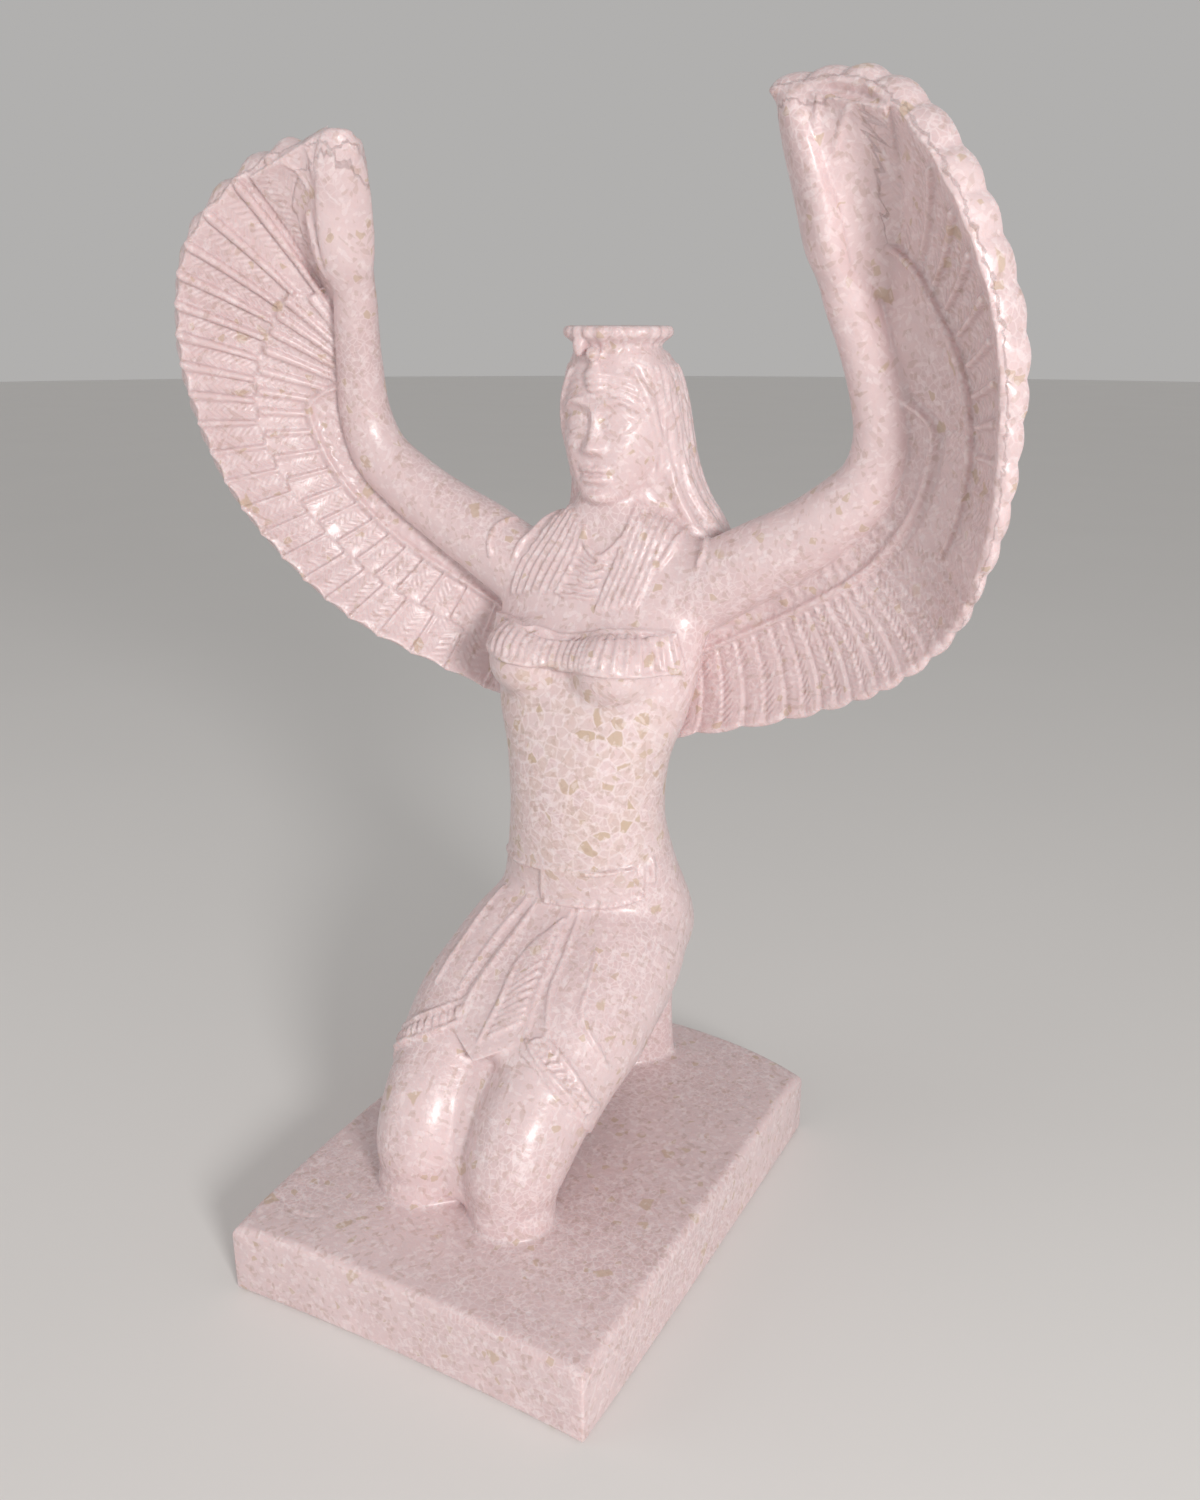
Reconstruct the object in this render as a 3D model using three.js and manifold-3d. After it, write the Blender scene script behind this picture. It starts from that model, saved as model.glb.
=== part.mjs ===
// Kneeling winged goddess on a low plinth, one solid casting of crushed shell in resin.
// Millimetres, +Z up. The figure faces -Y and her left side is +X.

import * as THREE from 'three';
import { mergeVertices } from 'three/addons/utils/BufferGeometryUtils.js';
import Module from 'manifold-3d';

const wasm = await Module();
wasm.setup();

// Plinth: a slab with bowed sides and a top that falls away at the corners.
const PLINTH = {
  halfWidth: 58.9,
  halfDepth: 78.3,
  bowLeft: 0.6,
  bowRight: 2.8,
  bowFront: -1.8,
  bowBack: 8.8,
  crown: 23.4,
  cornerDrop: 2.2,
  edgeRound: 2.6,
  footRound: 0.9,
  pointsPerSide: 6,
};

// Torso from the seat to the throat: height, centre, half width, and depth in front and behind.
const TORSO = [
  { z: 64, y: 40, half: 15, front: 14, back: 9 },
  { z: 72, y: 39, half: 24.5, front: 23, back: 19.5 },
  { z: 84, y: 38, half: 31.5, front: 27, back: 28 },
  { z: 98, y: 35, half: 31.5, front: 22.5, back: 26 },
  { z: 112, y: 32, half: 28, front: 21, back: 22 },
  { z: 128, y: 30, half: 25.3, front: 21, back: 20 },
  { z: 146, y: 30.5, half: 26.4, front: 20.5, back: 21 },
  { z: 160, y: 33, half: 31, front: 19.5, back: 22 },
  { z: 178, y: 37, half: 34, front: 17.5, back: 21 },
  { z: 194, y: 41.5, half: 35, front: 13.5, back: 18.5 },
  { z: 205, y: 44.5, half: 34, front: 10, back: 15 },
  { z: 213, y: 46, half: 25, front: 9, back: 12 },
  { z: 219, y: 47, half: 13, front: 9.5, back: 11 },
  { z: 230, y: 49, half: 11, front: 10, back: 10 },
];

const BREAST = { apart: 14, shift: -1.6, y: 28, z: 174.5, rx: 14.5, ry: 17.5, rz: 12.5 };

// Dress on the chest: two lappets of the wig, the collar between them and a pleated band.
const PLATE_DEPTH = 4;
const LAPPET = { top: 217, bottom: 190.5, ridges: 4, proud: 1.6, groove: 1, throat: 2.5 };
const LAPPET_LEFT = { innerTop: 10.5, outerTop: 20, innerBottom: 4, outerBottom: 18 };
const LAPPET_RIGHT = { innerTop: 6, outerTop: 16, innerBottom: 12.5, outerBottom: 30 };
const COLLAR = { top: 200, bottom: 190, from: -12, to: 5, rows: 4, proud: 1, groove: 0.7 };
const BAND = { top: 185.5, bottom: 174.5, reach: 84, pleats: 16, proud: 1.5, groove: 0.8 };

// Sash panel under the waist, which stops short on her right, with a ridge at each end.
const SASH = { top: 114.5, bottom: 100.5, from: -14, to: 60, proud: 1.2, ridge: 1 };
const SASH_COLUMNS = [0, 0.03, 0.06, 0.3, 0.5, 0.7, 0.92, 0.95, 0.98, 1];
const SASH_RIDGES = [1, 7];

// Kilt over the thighs: how far along the thigh it reaches inside and outside, and its hem.
const KILT = { inner: 0.45, outer: 0.6, proud: 0.9, hem: 0.07, hemProud: 0.8 };

// Apron between the thighs: its way down, and how far its point hangs below its sides.
const APRON = [
  { y: 15, z: 102, half: 6.2 },
  { y: 0, z: 91.8, half: 8.4 },
  { y: -13, z: 82.8, half: 11 },
  { y: -24, z: 73.4, half: 13.5 },
];
const APRON_POINT = 9;
const APRON_DEPTH = 9;
const APRON_RIDGE = 0.9;
const APRON_COLUMNS = [-1, -0.93, -0.86, -0.5, -0.08, 0, 0.08, 0.5, 0.86, 0.93, 1];
const APRON_RIDGES = [1, 5, 9];
const APRON_ROWS = 5;

// Head from the chin to the top of the skull, and the wig that falls over the shoulders.
const HEAD = [
  { z: 219.5, y: 44, half: 4, front: 5, back: 6 },
  { z: 221.5, y: 44.5, half: 7.5, front: 8.5, back: 8 },
  { z: 227, y: 46, half: 11.8, front: 11.2, back: 10 },
  { z: 234, y: 47.5, half: 14.6, front: 13.2, back: 12 },
  { z: 243, y: 48.5, half: 15.9, front: 14.0, back: 14 },
  { z: 252, y: 49.2, half: 16, front: 14.2, back: 15 },
  { z: 259, y: 49.5, half: 15.2, front: 13.6, back: 14 },
  { z: 265, y: 49.5, half: 13, front: 12, back: 12 },
];
const WIG = [
  { z: 176, x: 0, y: 55, half: 20, front: 8, back: 10 },
  { z: 181, x: 0, y: 56, half: 24, front: 9, back: 12 },
  { z: 196, x: 1, y: 60, half: 28.5, front: 12, back: 12.5 },
  { z: 206, x: 3, y: 62, half: 28.5, front: 14, back: 13 },
  { z: 213, x: 3.5, y: 62, half: 25.5, front: 14, back: 13.5 },
  { z: 221, x: 2.5, y: 60, half: 21.5, front: 14, back: 14 },
  { z: 230, x: 1.6, y: 58, half: 19, front: 13.5, back: 14.5 },
  { z: 240, x: 1.2, y: 56, half: 17.8, front: 13, back: 15.5 },
  { z: 250, x: 1, y: 54, half: 17, front: 13, back: 15 },
  { z: 258, x: 0.8, y: 52, half: 15.8, front: 13.5, back: 14 },
  { z: 264, x: 0.5, y: 50, half: 13, front: 12, back: 12 },
];

// Face: each feature is a ball half sunk in the head, with its radii across, deep and up.
const FACE = {
  nose: { at: [0, 35.4, 237.5], radii: [2.3, 3.2, 5.6] },
  lips: { at: [0, 36.2, 228.6], radii: [4.4, 2, 1.7] },
  chin: { at: [0, 39.4, 223.6], radii: [4.6, 4, 2.8] },
};
const EYE = { at: [6.4, 36.4, 242.6], radii: [3.4, 1.7, 1.8] };
const BROW = { at: [6.6, 36.2, 247], radii: [4.8, 1.5, 1] };

// Cobra on the forehead, and a small knob low on the front of the crown.
const COBRA = { at: [0, 35.6, 257], radii: [2.6, 2, 5] };
const COBRA_HEAD = { at: [0, 34.2, 263], radii: [1.7, 2, 1.7] };
const KNOB = { at: [-5.5, 36, 265.5], radii: [2, 1.8, 3] };

const WIG_LOCKS = 15;
const WIG_LOCK_DEPTH = 1;
const WIG_SQUARE = 2.7;

// Low crown: a fluted cup on the head, widening to a flat top.
const CROWN = {
  y: 49.5,
  z: 261,
  height: 9.8,
  flutes: 16,
  fluteDepth: 0.7,
};
const CROWN_LEVELS = [
  { up: 0, radius: 13.6 },
  { up: 0.55, radius: 14.5 },
  { up: 0.85, radius: 16.1 },
  { up: 1, radius: 15.5 },
];

// Thigh, lower leg and foot of the left leg, with a radius across and one up and down.
const THIGH = [
  { at: [13, 44, 89], across: 16, along: 19 },
  { at: [15, 26, 83], across: 19.5, along: 21 },
  { at: [17, 4, 70], across: 19.5, along: 19.5 },
  { at: [17, -14, 57.5], across: 17, along: 17.6 },
  { at: [16.5, -27, 46.5], across: 15.5, along: 17 },
  { at: [16, -33.5, 36.5], across: 14.3, along: 15.5 },
  { at: [16, -34.5, 27], across: 12, along: 12 },
];
const SHIN = [
  { at: [16, -33, 34], across: 12, along: 11 },
  { at: [16, -20, 39], across: 11.5, along: 12 },
  { at: [14.5, 4, 49], across: 10.5, along: 12 },
  { at: [13, 28, 61], across: 9.5, along: 11 },
  { at: [12, 48, 71], across: 9, along: 10 },
  { at: [11.5, 57, 75], across: 8, along: 6 },
];

// Foot standing on its toes: a wedge that narrows to the front, seen from above.
const FOOT = [
  { z: 20, heel: 73, toe: 50, outer: 18.5, inner: -4.2 },
  { z: 25, heel: 72.5, toe: 51, outer: 17.6, inner: -4.2 },
  { z: 40, heel: 71.5, toe: 52.5, outer: 16.8, inner: -4.2 },
  { z: 56, heel: 71, toe: 51, outer: 17.5, inner: -4.2 },
  { z: 74, heel: 69, toe: 49, outer: 20, inner: -2 },
];
const FOOT_SLANT = 0.45;

// Left arm, from inside the shoulder round the elbow to the wrist, then the hand.
const ARM = [
  { at: [28, 46, 195], radius: 12.5 },
  { at: [44, 46, 204.5], radius: 12 },
  { at: [60, 44.5, 213.5], radius: 10.6 },
  { at: [72, 42, 222], radius: 9.8 },
  { at: [81.5, 40, 231], radius: 9.2 },
  { at: [85, 37.5, 243], radius: 8.2 },
  { at: [82.5, 32.5, 260], radius: 7.2 },
  { at: [77.5, 26, 277], radius: 6.6 },
  { at: [74, 22, 288], radius: 6.2 },
];
// Hand: a flat blade that stands square to the wing, wider along its own direction.
const HAND = [
  { at: [75.5, 22.5, 281], radius: 4.2, deep: 5.5 },
  { at: [72.7, 18, 289], radius: 4.2, deep: 7.8 },
  { at: [70.7, 14.8, 300], radius: 4, deep: 8.4 },
  { at: [68, 11.2, 311], radius: 3.5, deep: 7.6 },
  { at: [66, 9, 319], radius: 2.8, deep: 6 },
];
const BLADE = [0.6, -0.8, 0];

// Left wing: where each feather leaves the arm, and where it ends on the rim.
const WING_ROOT = [
  [16, 43, 181],
  [42, 46, 200],
  [58, 45, 211],
  [71, 42.5, 220],
  [81, 40, 231],
  [85, 38, 242],
  [84, 35.5, 250],
  [82, 33, 257],
  [80, 30, 265],
  [76, 26, 276],
];
const WING_RIM = [
  [16, 43, 148],
  [56, 36, 162],
  [82, 21, 179],
  [101, 13.5, 197],
  [113, 3.5, 220],
  [118.5, -4, 246],
  [120, -7, 271],
  [110, -8.5, 295],
  [86, 2, 316.5],
  [60.5, 8.3, 317.5],
];
const FEATHERS = 26;
const WING = {
  ridge: 1.5,
  covertEnd: 0.33,
  covertLip: 1.2,
  rowEnd: 0.65,
  rowEndAbove: 0.48,
  rowStep: 1.1,
  bulge: 0.5,
  sag: 6,
  thinnest: 3.2,
};
// The wings differ: her left one reaches higher, and its front falls back towards the rim.
// Where the rear reaches less far than the front, the end faces can't be seen from the front.
const LEFT_WING = {
  lift: 6,
  scallop: 0.014,
  setBack: [
    { s: 0, mm: 0 },
    { s: 0.1, mm: 5 },
    { s: 0.2, mm: 10.5 },
    { s: 0.3, mm: 12 },
    { s: 0.36, mm: 11 },
    { s: 0.42, mm: 8 },
    { s: 0.5, mm: 6 },
    { s: 0.58, mm: 3.5 },
    { s: 0.66, mm: 0 },
    { s: 0.75, mm: -1.5 },
    { s: 1, mm: -1.2 },
  ],
  rearReach: [
    { s: 0, share: 0.975 },
    { s: 0.33, share: 0.975 },
    { s: 0.42, share: 1.005 },
    { s: 0.58, share: 0.99 },
    { s: 0.68, share: 0.96 },
    { s: 0.82, share: 0.985 },
    { s: 1, share: 1 },
  ],
};
const RIGHT_WING = {
  lift: 0,
  scallop: 0.025,
  setBack: [
    { s: 0, mm: 0 },
    { s: 1, mm: 0 },
  ],
  rearReach: [
    { s: 0, share: 0.95 },
    { s: 0.7, share: 0.96 },
    { s: 0.9, share: 0.985 },
    { s: 1, share: 0.99 },
  ],
};

// Thickness of the wing at the rim, from the torso round to the tip.
const WING_THICK = [
  { s: 0, mm: 4 },
  { s: 0.3, mm: 11.5 },
  { s: 0.5, mm: 11 },
  { s: 0.75, mm: 8 },
  { s: 1, mm: 6.5 },
];

// The legs stand a little to her right of the middle of the plinth.
const KNEE_SHIFT = -5;

const IVORY = 0xdccac7;

// Smooth value of one measure between the rows of a station table.
function between(rows, key, at, name) {
  let i = 0;
  while (i < rows.length - 2 && at > rows[i + 1][key]) {
    i += 1;
  }
  const slope = (k) => {
    const low = rows[Math.max(k - 1, 0)];
    const high = rows[Math.min(k + 1, rows.length - 1)];
    return (high[name] - low[name]) / (high[key] - low[key]);
  };
  const span = rows[i + 1][key] - rows[i][key];
  const t = THREE.MathUtils.clamp((at - rows[i][key]) / span, 0, 1);
  const a = (2 * t ** 3 - 3 * t ** 2 + 1) * rows[i][name];
  const b = (3 * t ** 2 - 2 * t ** 3) * rows[i + 1][name];
  const rise = (t ** 3 - 2 * t ** 2 + t) * span * slope(i);
  const fall = (t ** 3 - t ** 2) * span * slope(i + 1);
  return a + b + rise + fall;
}

// Closed solid through rings of equal length, with a fan at each end.
function skin(rings) {
  const count = rings[0].length;
  const spots = rings.flat();
  const faces = [];
  for (let r = 0; r < rings.length - 1; r += 1) {
    for (let c = 0; c < count; c += 1) {
      const a = r * count + c;
      const b = r * count + ((c + 1) % count);
      faces.push([a, b, b + count], [a, b + count, a + count]);
    }
  }
  for (const end of [0, rings.length - 1]) {
    const middle = new THREE.Vector3();
    rings[end].forEach((p) => middle.add(p));
    spots.push(middle.divideScalar(count));
    for (let c = 0; c < count; c += 1) {
      const a = end * count + c;
      const b = end * count + ((c + 1) % count);
      faces.push(end === 0 ? [b, a, spots.length - 1] : [a, b, spots.length - 1]);
    }
  }
  return solid(spots, faces);
}

// Manifold solid from points and triangles, turned so that its faces look out.
function solid(spots, faces) {
  let volume = 0;
  for (const [a, b, c] of faces) {
    volume += spots[a].dot(new THREE.Vector3().crossVectors(spots[b], spots[c]));
  }
  const turned = volume < 0 ? faces.map(([a, b, c]) => [a, c, b]) : faces;
  const vertProperties = new Float32Array(spots.flatMap((p) => [p.x, p.y, p.z]));
  const triVerts = new Uint32Array(turned.flat());
  return new wasm.Manifold(new wasm.Mesh({ numProp: 3, vertProperties, triVerts }));
}

// Manifold solid from one of three's closed geometries.
function solidOf(geometry) {
  const bare = geometry.index ? geometry : geometry.clone();
  bare.deleteAttribute('normal');
  bare.deleteAttribute('uv');
  const merged = mergeVertices(bare, 1e-3);
  const place = merged.getAttribute('position');
  const spots = [];
  for (let i = 0; i < place.count; i += 1) {
    spots.push(new THREE.Vector3().fromBufferAttribute(place, i));
  }
  const faces = [];
  for (let i = 0; i < merged.index.count; i += 3) {
    const [a, b, c] = [0, 1, 2].map((k) => merged.index.getX(i + k));
    if (a !== b && b !== c && c !== a) {
      faces.push([a, b, c]);
    }
  }
  return solid(spots, faces);
}

function ball(x, y, z, rx, ry, rz, sides = 16) {
  const geometry = new THREE.SphereGeometry(1, sides, Math.round(sides * 0.6));
  geometry.scale(rx, ry, rz);
  geometry.translate(x, y, z);
  return solidOf(geometry);
}

function joined(solids) {
  return solids.reduce((whole, next) => whole.add(next));
}

function vector([x, y, z]) {
  return new THREE.Vector3(x, y, z);
}

// Upright ring: half width either side, and its own depth in front and behind.
function bodyRing(z, y, half, front, back, sides) {
  const ring = [];
  for (let i = 0; i < sides; i += 1) {
    const turn = (i / sides) * Math.PI * 2;
    const depth = Math.cos(turn) > 0 ? front : back;
    ring.push(new THREE.Vector3(half * Math.sin(turn), y - depth * Math.cos(turn), z));
  }
  return ring;
}

function torsoRing(z, sides, swell = 0) {
  const value = (name) => between(TORSO, 'z', z, name);
  return bodyRing(
    z, value('y'), value('half') + swell, value('front') + swell, value('back') + swell, sides,
  );
}

function torso() {
  const rings = [];
  const steps = 14;
  const low = TORSO[0].z;
  const high = TORSO.at(-1).z;
  for (let i = 0; i <= steps; i += 1) {
    rings.push(torsoRing(THREE.MathUtils.lerp(low, high, i / steps), 20));
  }
  return skin(rings);
}

function breast(side) {
  const x = BREAST.shift + side * BREAST.apart;
  return ball(x, BREAST.y, BREAST.z, BREAST.rx, BREAST.ry, BREAST.rz, 12);
}

// How far forward the chest stands at a place across and up it.
function chestFront(x, z) {
  const value = (name) => between(TORSO, 'z', z, name);
  const share = Math.min(Math.abs(x) / value('half'), 1);
  const plain = value('y') - value('front') * Math.sqrt(1 - share ** 2);
  const across = (Math.abs(x - BREAST.shift) - BREAST.apart) / BREAST.rx;
  const up = (z - BREAST.z) / BREAST.rz;
  const inside = 1 - across ** 2 - up ** 2;
  return inside > 0 ? Math.min(plain, BREAST.y - BREAST.ry * Math.sqrt(inside)) : plain;
}

// Raised piece of dress: rows down the chest, each a front edge and a line inside the body.
function plate(rows, columns, spot) {
  const rings = [];
  for (let r = 0; r <= rows; r += 1) {
    const ring = [];
    for (let c = 0; c <= columns; c += 1) {
      ring.push(spot(r / rows, c / columns, r, c));
    }
    const first = ring[0].clone();
    const last = ring[columns].clone();
    first.y += PLATE_DEPTH;
    last.y += PLATE_DEPTH;
    rings.push([...ring, last, first]);
  }
  return skin(rings);
}

function lappet(side) {
  const edge = side > 0 ? LAPPET_LEFT : LAPPET_RIGHT;
  const columns = LAPPET.ridges * 2;
  return plate(5, columns, (down, over, r, c) => {
    const z = THREE.MathUtils.lerp(LAPPET.top, LAPPET.bottom, down);
    const inner = THREE.MathUtils.lerp(edge.innerTop, edge.innerBottom, down);
    const outer = THREE.MathUtils.lerp(edge.outerTop, edge.outerBottom, down);
    const x = side * THREE.MathUtils.lerp(inner, outer, over);
    const proud = c % 2 ? LAPPET.proud : LAPPET.proud - LAPPET.groove;
    const throat = LAPPET.throat * THREE.MathUtils.smoothstep(z, COLLAR.top, LAPPET.top);
    return new THREE.Vector3(x, chestFront(x, z) - proud - throat, z);
  });
}

function collar() {
  const rows = COLLAR.rows * 2;
  return plate(rows, 3, (down, over, r) => {
    const z = THREE.MathUtils.lerp(COLLAR.top, COLLAR.bottom, down);
    const x = THREE.MathUtils.lerp(COLLAR.from, COLLAR.to, over);
    const proud = r % 2 ? COLLAR.proud : COLLAR.proud - COLLAR.groove;
    return new THREE.Vector3(x, chestFront(x, z) - proud, z);
  });
}

function band() {
  const columns = BAND.pleats * 2;
  const reach = THREE.MathUtils.degToRad(BAND.reach);
  return plate(2, columns, (down, over, r, c) => {
    const z = THREE.MathUtils.lerp(BAND.top, BAND.bottom, down);
    const turn = THREE.MathUtils.lerp(-reach, reach, over);
    const x = between(TORSO, 'z', z, 'half') * Math.sin(turn);
    const proud = BAND.proud - (c % 2 ? BAND.groove : 0);
    const out = new THREE.Vector3(Math.sin(turn), -Math.cos(turn), 0);
    return new THREE.Vector3(x, chestFront(x, z), z).addScaledVector(out, proud);
  });
}

function sash() {
  const low = THREE.MathUtils.degToRad(SASH.from);
  const high = THREE.MathUtils.degToRad(SASH.to);
  return plate(3, SASH_COLUMNS.length - 1, (down, over, r, c) => {
    const z = THREE.MathUtils.lerp(SASH.top, SASH.bottom, down);
    const value = (name) => between(TORSO, 'z', z, name);
    const turn = THREE.MathUtils.lerp(low, high, SASH_COLUMNS[c]);
    const ridge = SASH_RIDGES.includes(c) ? SASH.ridge : 0;
    const proud = SASH.proud + ridge;
    return new THREE.Vector3(
      (value('half') + proud) * Math.sin(turn),
      value('y') - (value('front') + proud) * Math.cos(turn),
      z,
    );
  });
}

function apron() {
  const last = APRON.length - 1;
  const rows = APRON.map((row, i) => ({ ...row, u: i / last }));
  const before = APRON[last - 1];
  const tip = APRON[last];
  const way = new THREE.Vector3(0, tip.y - before.y, tip.z - before.z).normalize();
  const out = new THREE.Vector3(0, way.z, -way.y);
  const rings = [];
  for (let r = 0; r <= APRON_ROWS; r += 1) {
    const u = r / APRON_ROWS;
    const row = (name) => between(rows, 'u', u, name);
    const ring = APRON_COLUMNS.map((v, c) => {
      const spot = new THREE.Vector3(v * row('half'), row('y'), row('z'));
      spot.addScaledVector(way, APRON_POINT * u ** 3 * (1 - Math.abs(v)));
      spot.addScaledVector(out, APRON_RIDGES.includes(c) ? APRON_RIDGE : 0);
      return spot;
    });
    const ends = [ring.at(-1), ring[0]].map((p) => p.clone().addScaledVector(out, -APRON_DEPTH));
    const whole = [...ring, ...ends];
    whole.forEach((p) => { p.x += legShift(p.y); });
    rings.push(whole);
  }
  return skin(rings);
}

// The legs lean to her right as they come forward.
function legShift(y) {
  return KNEE_SHIFT * THREE.MathUtils.smoothstep(-y, -40, 20);
}

function lump({ at, radii }, side = 1) {
  const [x, y, z] = at;
  return ball(side * x, y, z, ...radii, 7);
}

function head() {
  const rings = HEAD.map((row) => bodyRing(row.z, row.y, row.half, row.front, row.back, 18));
  const features = Object.values(FACE).map((feature) => lump(feature));
  for (const side of [1, -1]) {
    features.push(lump(EYE, side), lump(BROW, side));
  }
  return joined([skin(rings), ...features]);
}

function browGear() {
  return joined([lump(COBRA), lump(COBRA_HEAD), lump(KNOB)]);
}

// Reach of a rounded square at a turn, where a circle's would be 1.
function squared(turn, power) {
  return (Math.abs(Math.sin(turn)) ** power + Math.abs(Math.cos(turn)) ** power) ** (-1 / power);
}

// Wig: squarer than an ellipse, with upright locks all round.
function wig() {
  const rings = [];
  const steps = 7;
  const sides = WIG_LOCKS * 2;
  for (let i = 0; i <= steps; i += 1) {
    const z = THREE.MathUtils.lerp(WIG[0].z, WIG.at(-1).z, i / steps);
    const value = (name) => between(WIG, 'z', z, name);
    const ring = [];
    for (let k = 0; k < sides; k += 1) {
      const turn = (k / sides) * Math.PI * 2;
      const square = squared(turn, WIG_SQUARE);
      const lock = k % 2 ? -WIG_LOCK_DEPTH : 0;
      const depth = Math.cos(turn) > 0 ? value('front') : value('back');
      ring.push(new THREE.Vector3(
        value('x') + (value('half') + lock) * square * Math.sin(turn),
        value('y') - (depth + lock) * square * Math.cos(turn),
        z,
      ));
    }
    rings.push(ring);
  }
  return skin(rings);
}

function crown() {
  const rings = [];
  const sides = CROWN.flutes * 2;
  for (const { up, radius } of CROWN_LEVELS) {
    const ring = [];
    for (let k = 0; k < sides; k += 1) {
      const turn = (k / sides) * Math.PI * 2;
      const reach = radius - (k % 2 ? CROWN.fluteDepth : 0);
      ring.push(new THREE.Vector3(
        reach * Math.sin(turn),
        CROWN.y - reach * Math.cos(turn),
        CROWN.z + up * CROWN.height,
      ));
    }
    rings.push(ring);
  }
  return skin(rings);
}

// Limb along a path whose rings stay square to it; side is +1 for her left.
function limb(stations, side, steps, sides, swell = 0, extent = () => [0, 1]) {
  const path = new THREE.CatmullRomCurve3(stations.map((s) => vector(s.at)), false, 'centripetal');
  const last = stations.length - 1;
  const rows = stations.map((s, i) => ({
    u: i / last,
    across: s.across ?? s.radius,
    along: s.along ?? s.radius,
  }));
  const rings = [];
  for (let i = 0; i <= steps; i += 1) {
    const ring = [];
    for (let k = 0; k < sides; k += 1) {
      const turn = (k / sides) * Math.PI * 2;
      const [low, high] = extent(turn);
      const u = THREE.MathUtils.lerp(low, high, i / steps);
      const ahead = path.getTangent(u);
      const wide = new THREE.Vector3(1, 0, 0).addScaledVector(ahead, -ahead.x).normalize();
      const tall = new THREE.Vector3().crossVectors(ahead, wide);
      const spot = path.getPoint(u);
      spot.addScaledVector(wide, (between(rows, 'u', u, 'across') + swell) * Math.cos(turn));
      spot.addScaledVector(tall, (between(rows, 'u', u, 'along') + swell) * Math.sin(turn));
      spot.x = side * spot.x + legShift(spot.y);
      ring.push(spot);
    }
    rings.push(ring);
  }
  return skin(rings);
}

// Thigh: the kilt down to its raised hem, and the bare knee that comes out of it.
function thigh(side) {
  const hem = (turn) => THREE.MathUtils.lerp(KILT.inner, KILT.outer, (1 + Math.cos(turn)) / 2);
  const cloth = limb(THIGH, side, 4, 16, KILT.proud, (turn) => [0, hem(turn)]);
  const border = (turn) => [hem(turn) - KILT.hem, hem(turn)];
  const edge = limb(THIGH, side, 1, 16, KILT.proud + KILT.hemProud, border);
  const knee = limb(THIGH, side, 5, 16, 0, (turn) => [hem(turn) - 2 * KILT.hem, 1]);
  return joined([cloth, edge, knee]);
}

// Arm: its rings turn with the path, so no direction is fixed in them.
function tube(stations, side, steps, sides) {
  const path = new THREE.CatmullRomCurve3(stations.map((s) => vector(s.at)), false, 'centripetal');
  const last = stations.length - 1;
  const rows = stations.map((s, i) => ({ u: i / last, radius: s.radius, deep: s.deep ?? s.radius }));
  const rings = [];
  for (let i = 0; i <= steps; i += 1) {
    const u = i / steps;
    const middle = path.getPoint(u);
    const ahead = path.getTangent(u);
    const wide = vector(BLADE);
    wide.addScaledVector(ahead, -wide.dot(ahead)).normalize();
    const tall = new THREE.Vector3().crossVectors(ahead, wide);
    const radius = between(rows, 'u', u, 'radius');
    const deep = between(rows, 'u', u, 'deep');
    const ring = [];
    for (let k = 0; k < sides; k += 1) {
      const turn = (k / sides) * Math.PI * 2;
      const spot = middle.clone();
      spot.addScaledVector(wide, deep * Math.cos(turn));
      spot.addScaledVector(tall, radius * Math.sin(turn));
      spot.x *= side;
      ring.push(spot);
    }
    rings.push(ring);
  }
  return skin(rings);
}

// Plinth outline: four bowed sides, at a height and pulled in by a margin.
function plinthRing(z, inset, scale = 1) {
  const { halfWidth, halfDepth, bowLeft, bowRight, bowFront, bowBack, pointsPerSide } = PLINTH;
  const corners = [
    [-halfWidth, -halfDepth, bowFront, 0, -1],
    [halfWidth, -halfDepth, bowLeft, 1, 0],
    [halfWidth, halfDepth, bowBack, 0, 1],
    [-halfWidth, halfDepth, bowRight, -1, 0],
  ];
  const ring = [];
  corners.forEach(([x, y, bow, outX, outY], i) => {
    const [nextX, nextY] = corners[(i + 1) % 4];
    for (let k = 0; k < pointsPerSide; k += 1) {
      const u = k / pointsPerSide;
      const swell = bow * 4 * u * (1 - u);
      const px = THREE.MathUtils.lerp(x, nextX, u) + outX * swell;
      const py = THREE.MathUtils.lerp(y, nextY, u) + outY * swell;
      const shrink = 1 - inset / Math.max(Math.abs(px), Math.abs(py));
      const flat = new THREE.Vector3(px * shrink * scale, py * shrink * scale, 0);
      flat.z = typeof z === 'function' ? z(flat.x, flat.y) : z;
      ring.push(flat);
    }
  });
  return ring;
}

function plinthTop(x, y) {
  const fall = (Math.abs(x) / PLINTH.halfWidth) ** 5 * (Math.abs(y) / PLINTH.halfDepth) ** 5;
  return PLINTH.crown - PLINTH.cornerDrop * Math.min(fall, 1.1);
}

function plinth() {
  const round = PLINTH.edgeRound;
  const rings = [
    plinthRing(0, PLINTH.footRound),
    plinthRing(PLINTH.footRound, 0),
    plinthRing((x, y) => plinthTop(x, y) - round, 0),
    plinthRing((x, y) => plinthTop(x, y) - round * 0.3, round * 0.3),
    plinthRing(plinthTop, round),
    plinthRing(plinthTop, round, 0.5),
  ];
  return skin(rings);
}

// Foot: its outer side slants inwards from the heel to the toes.
function foot(side) {
  const sides = 10;
  const rings = FOOT.map((row) => {
    const half = (row.outer - row.inner) / 2;
    const depth = (row.heel - row.toe) / 2;
    const ring = bodyRing(row.z, row.toe + depth, half, depth, depth, sides);
    ring.forEach((p) => {
      const forward = (row.heel - p.y) / (row.heel - row.toe);
      const slant = 1 - FOOT_SLANT * forward;
      p.x = side * (row.inner + (p.x + half) * slant);
    });
    return ring;
  });
  return skin(rings);
}

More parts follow.
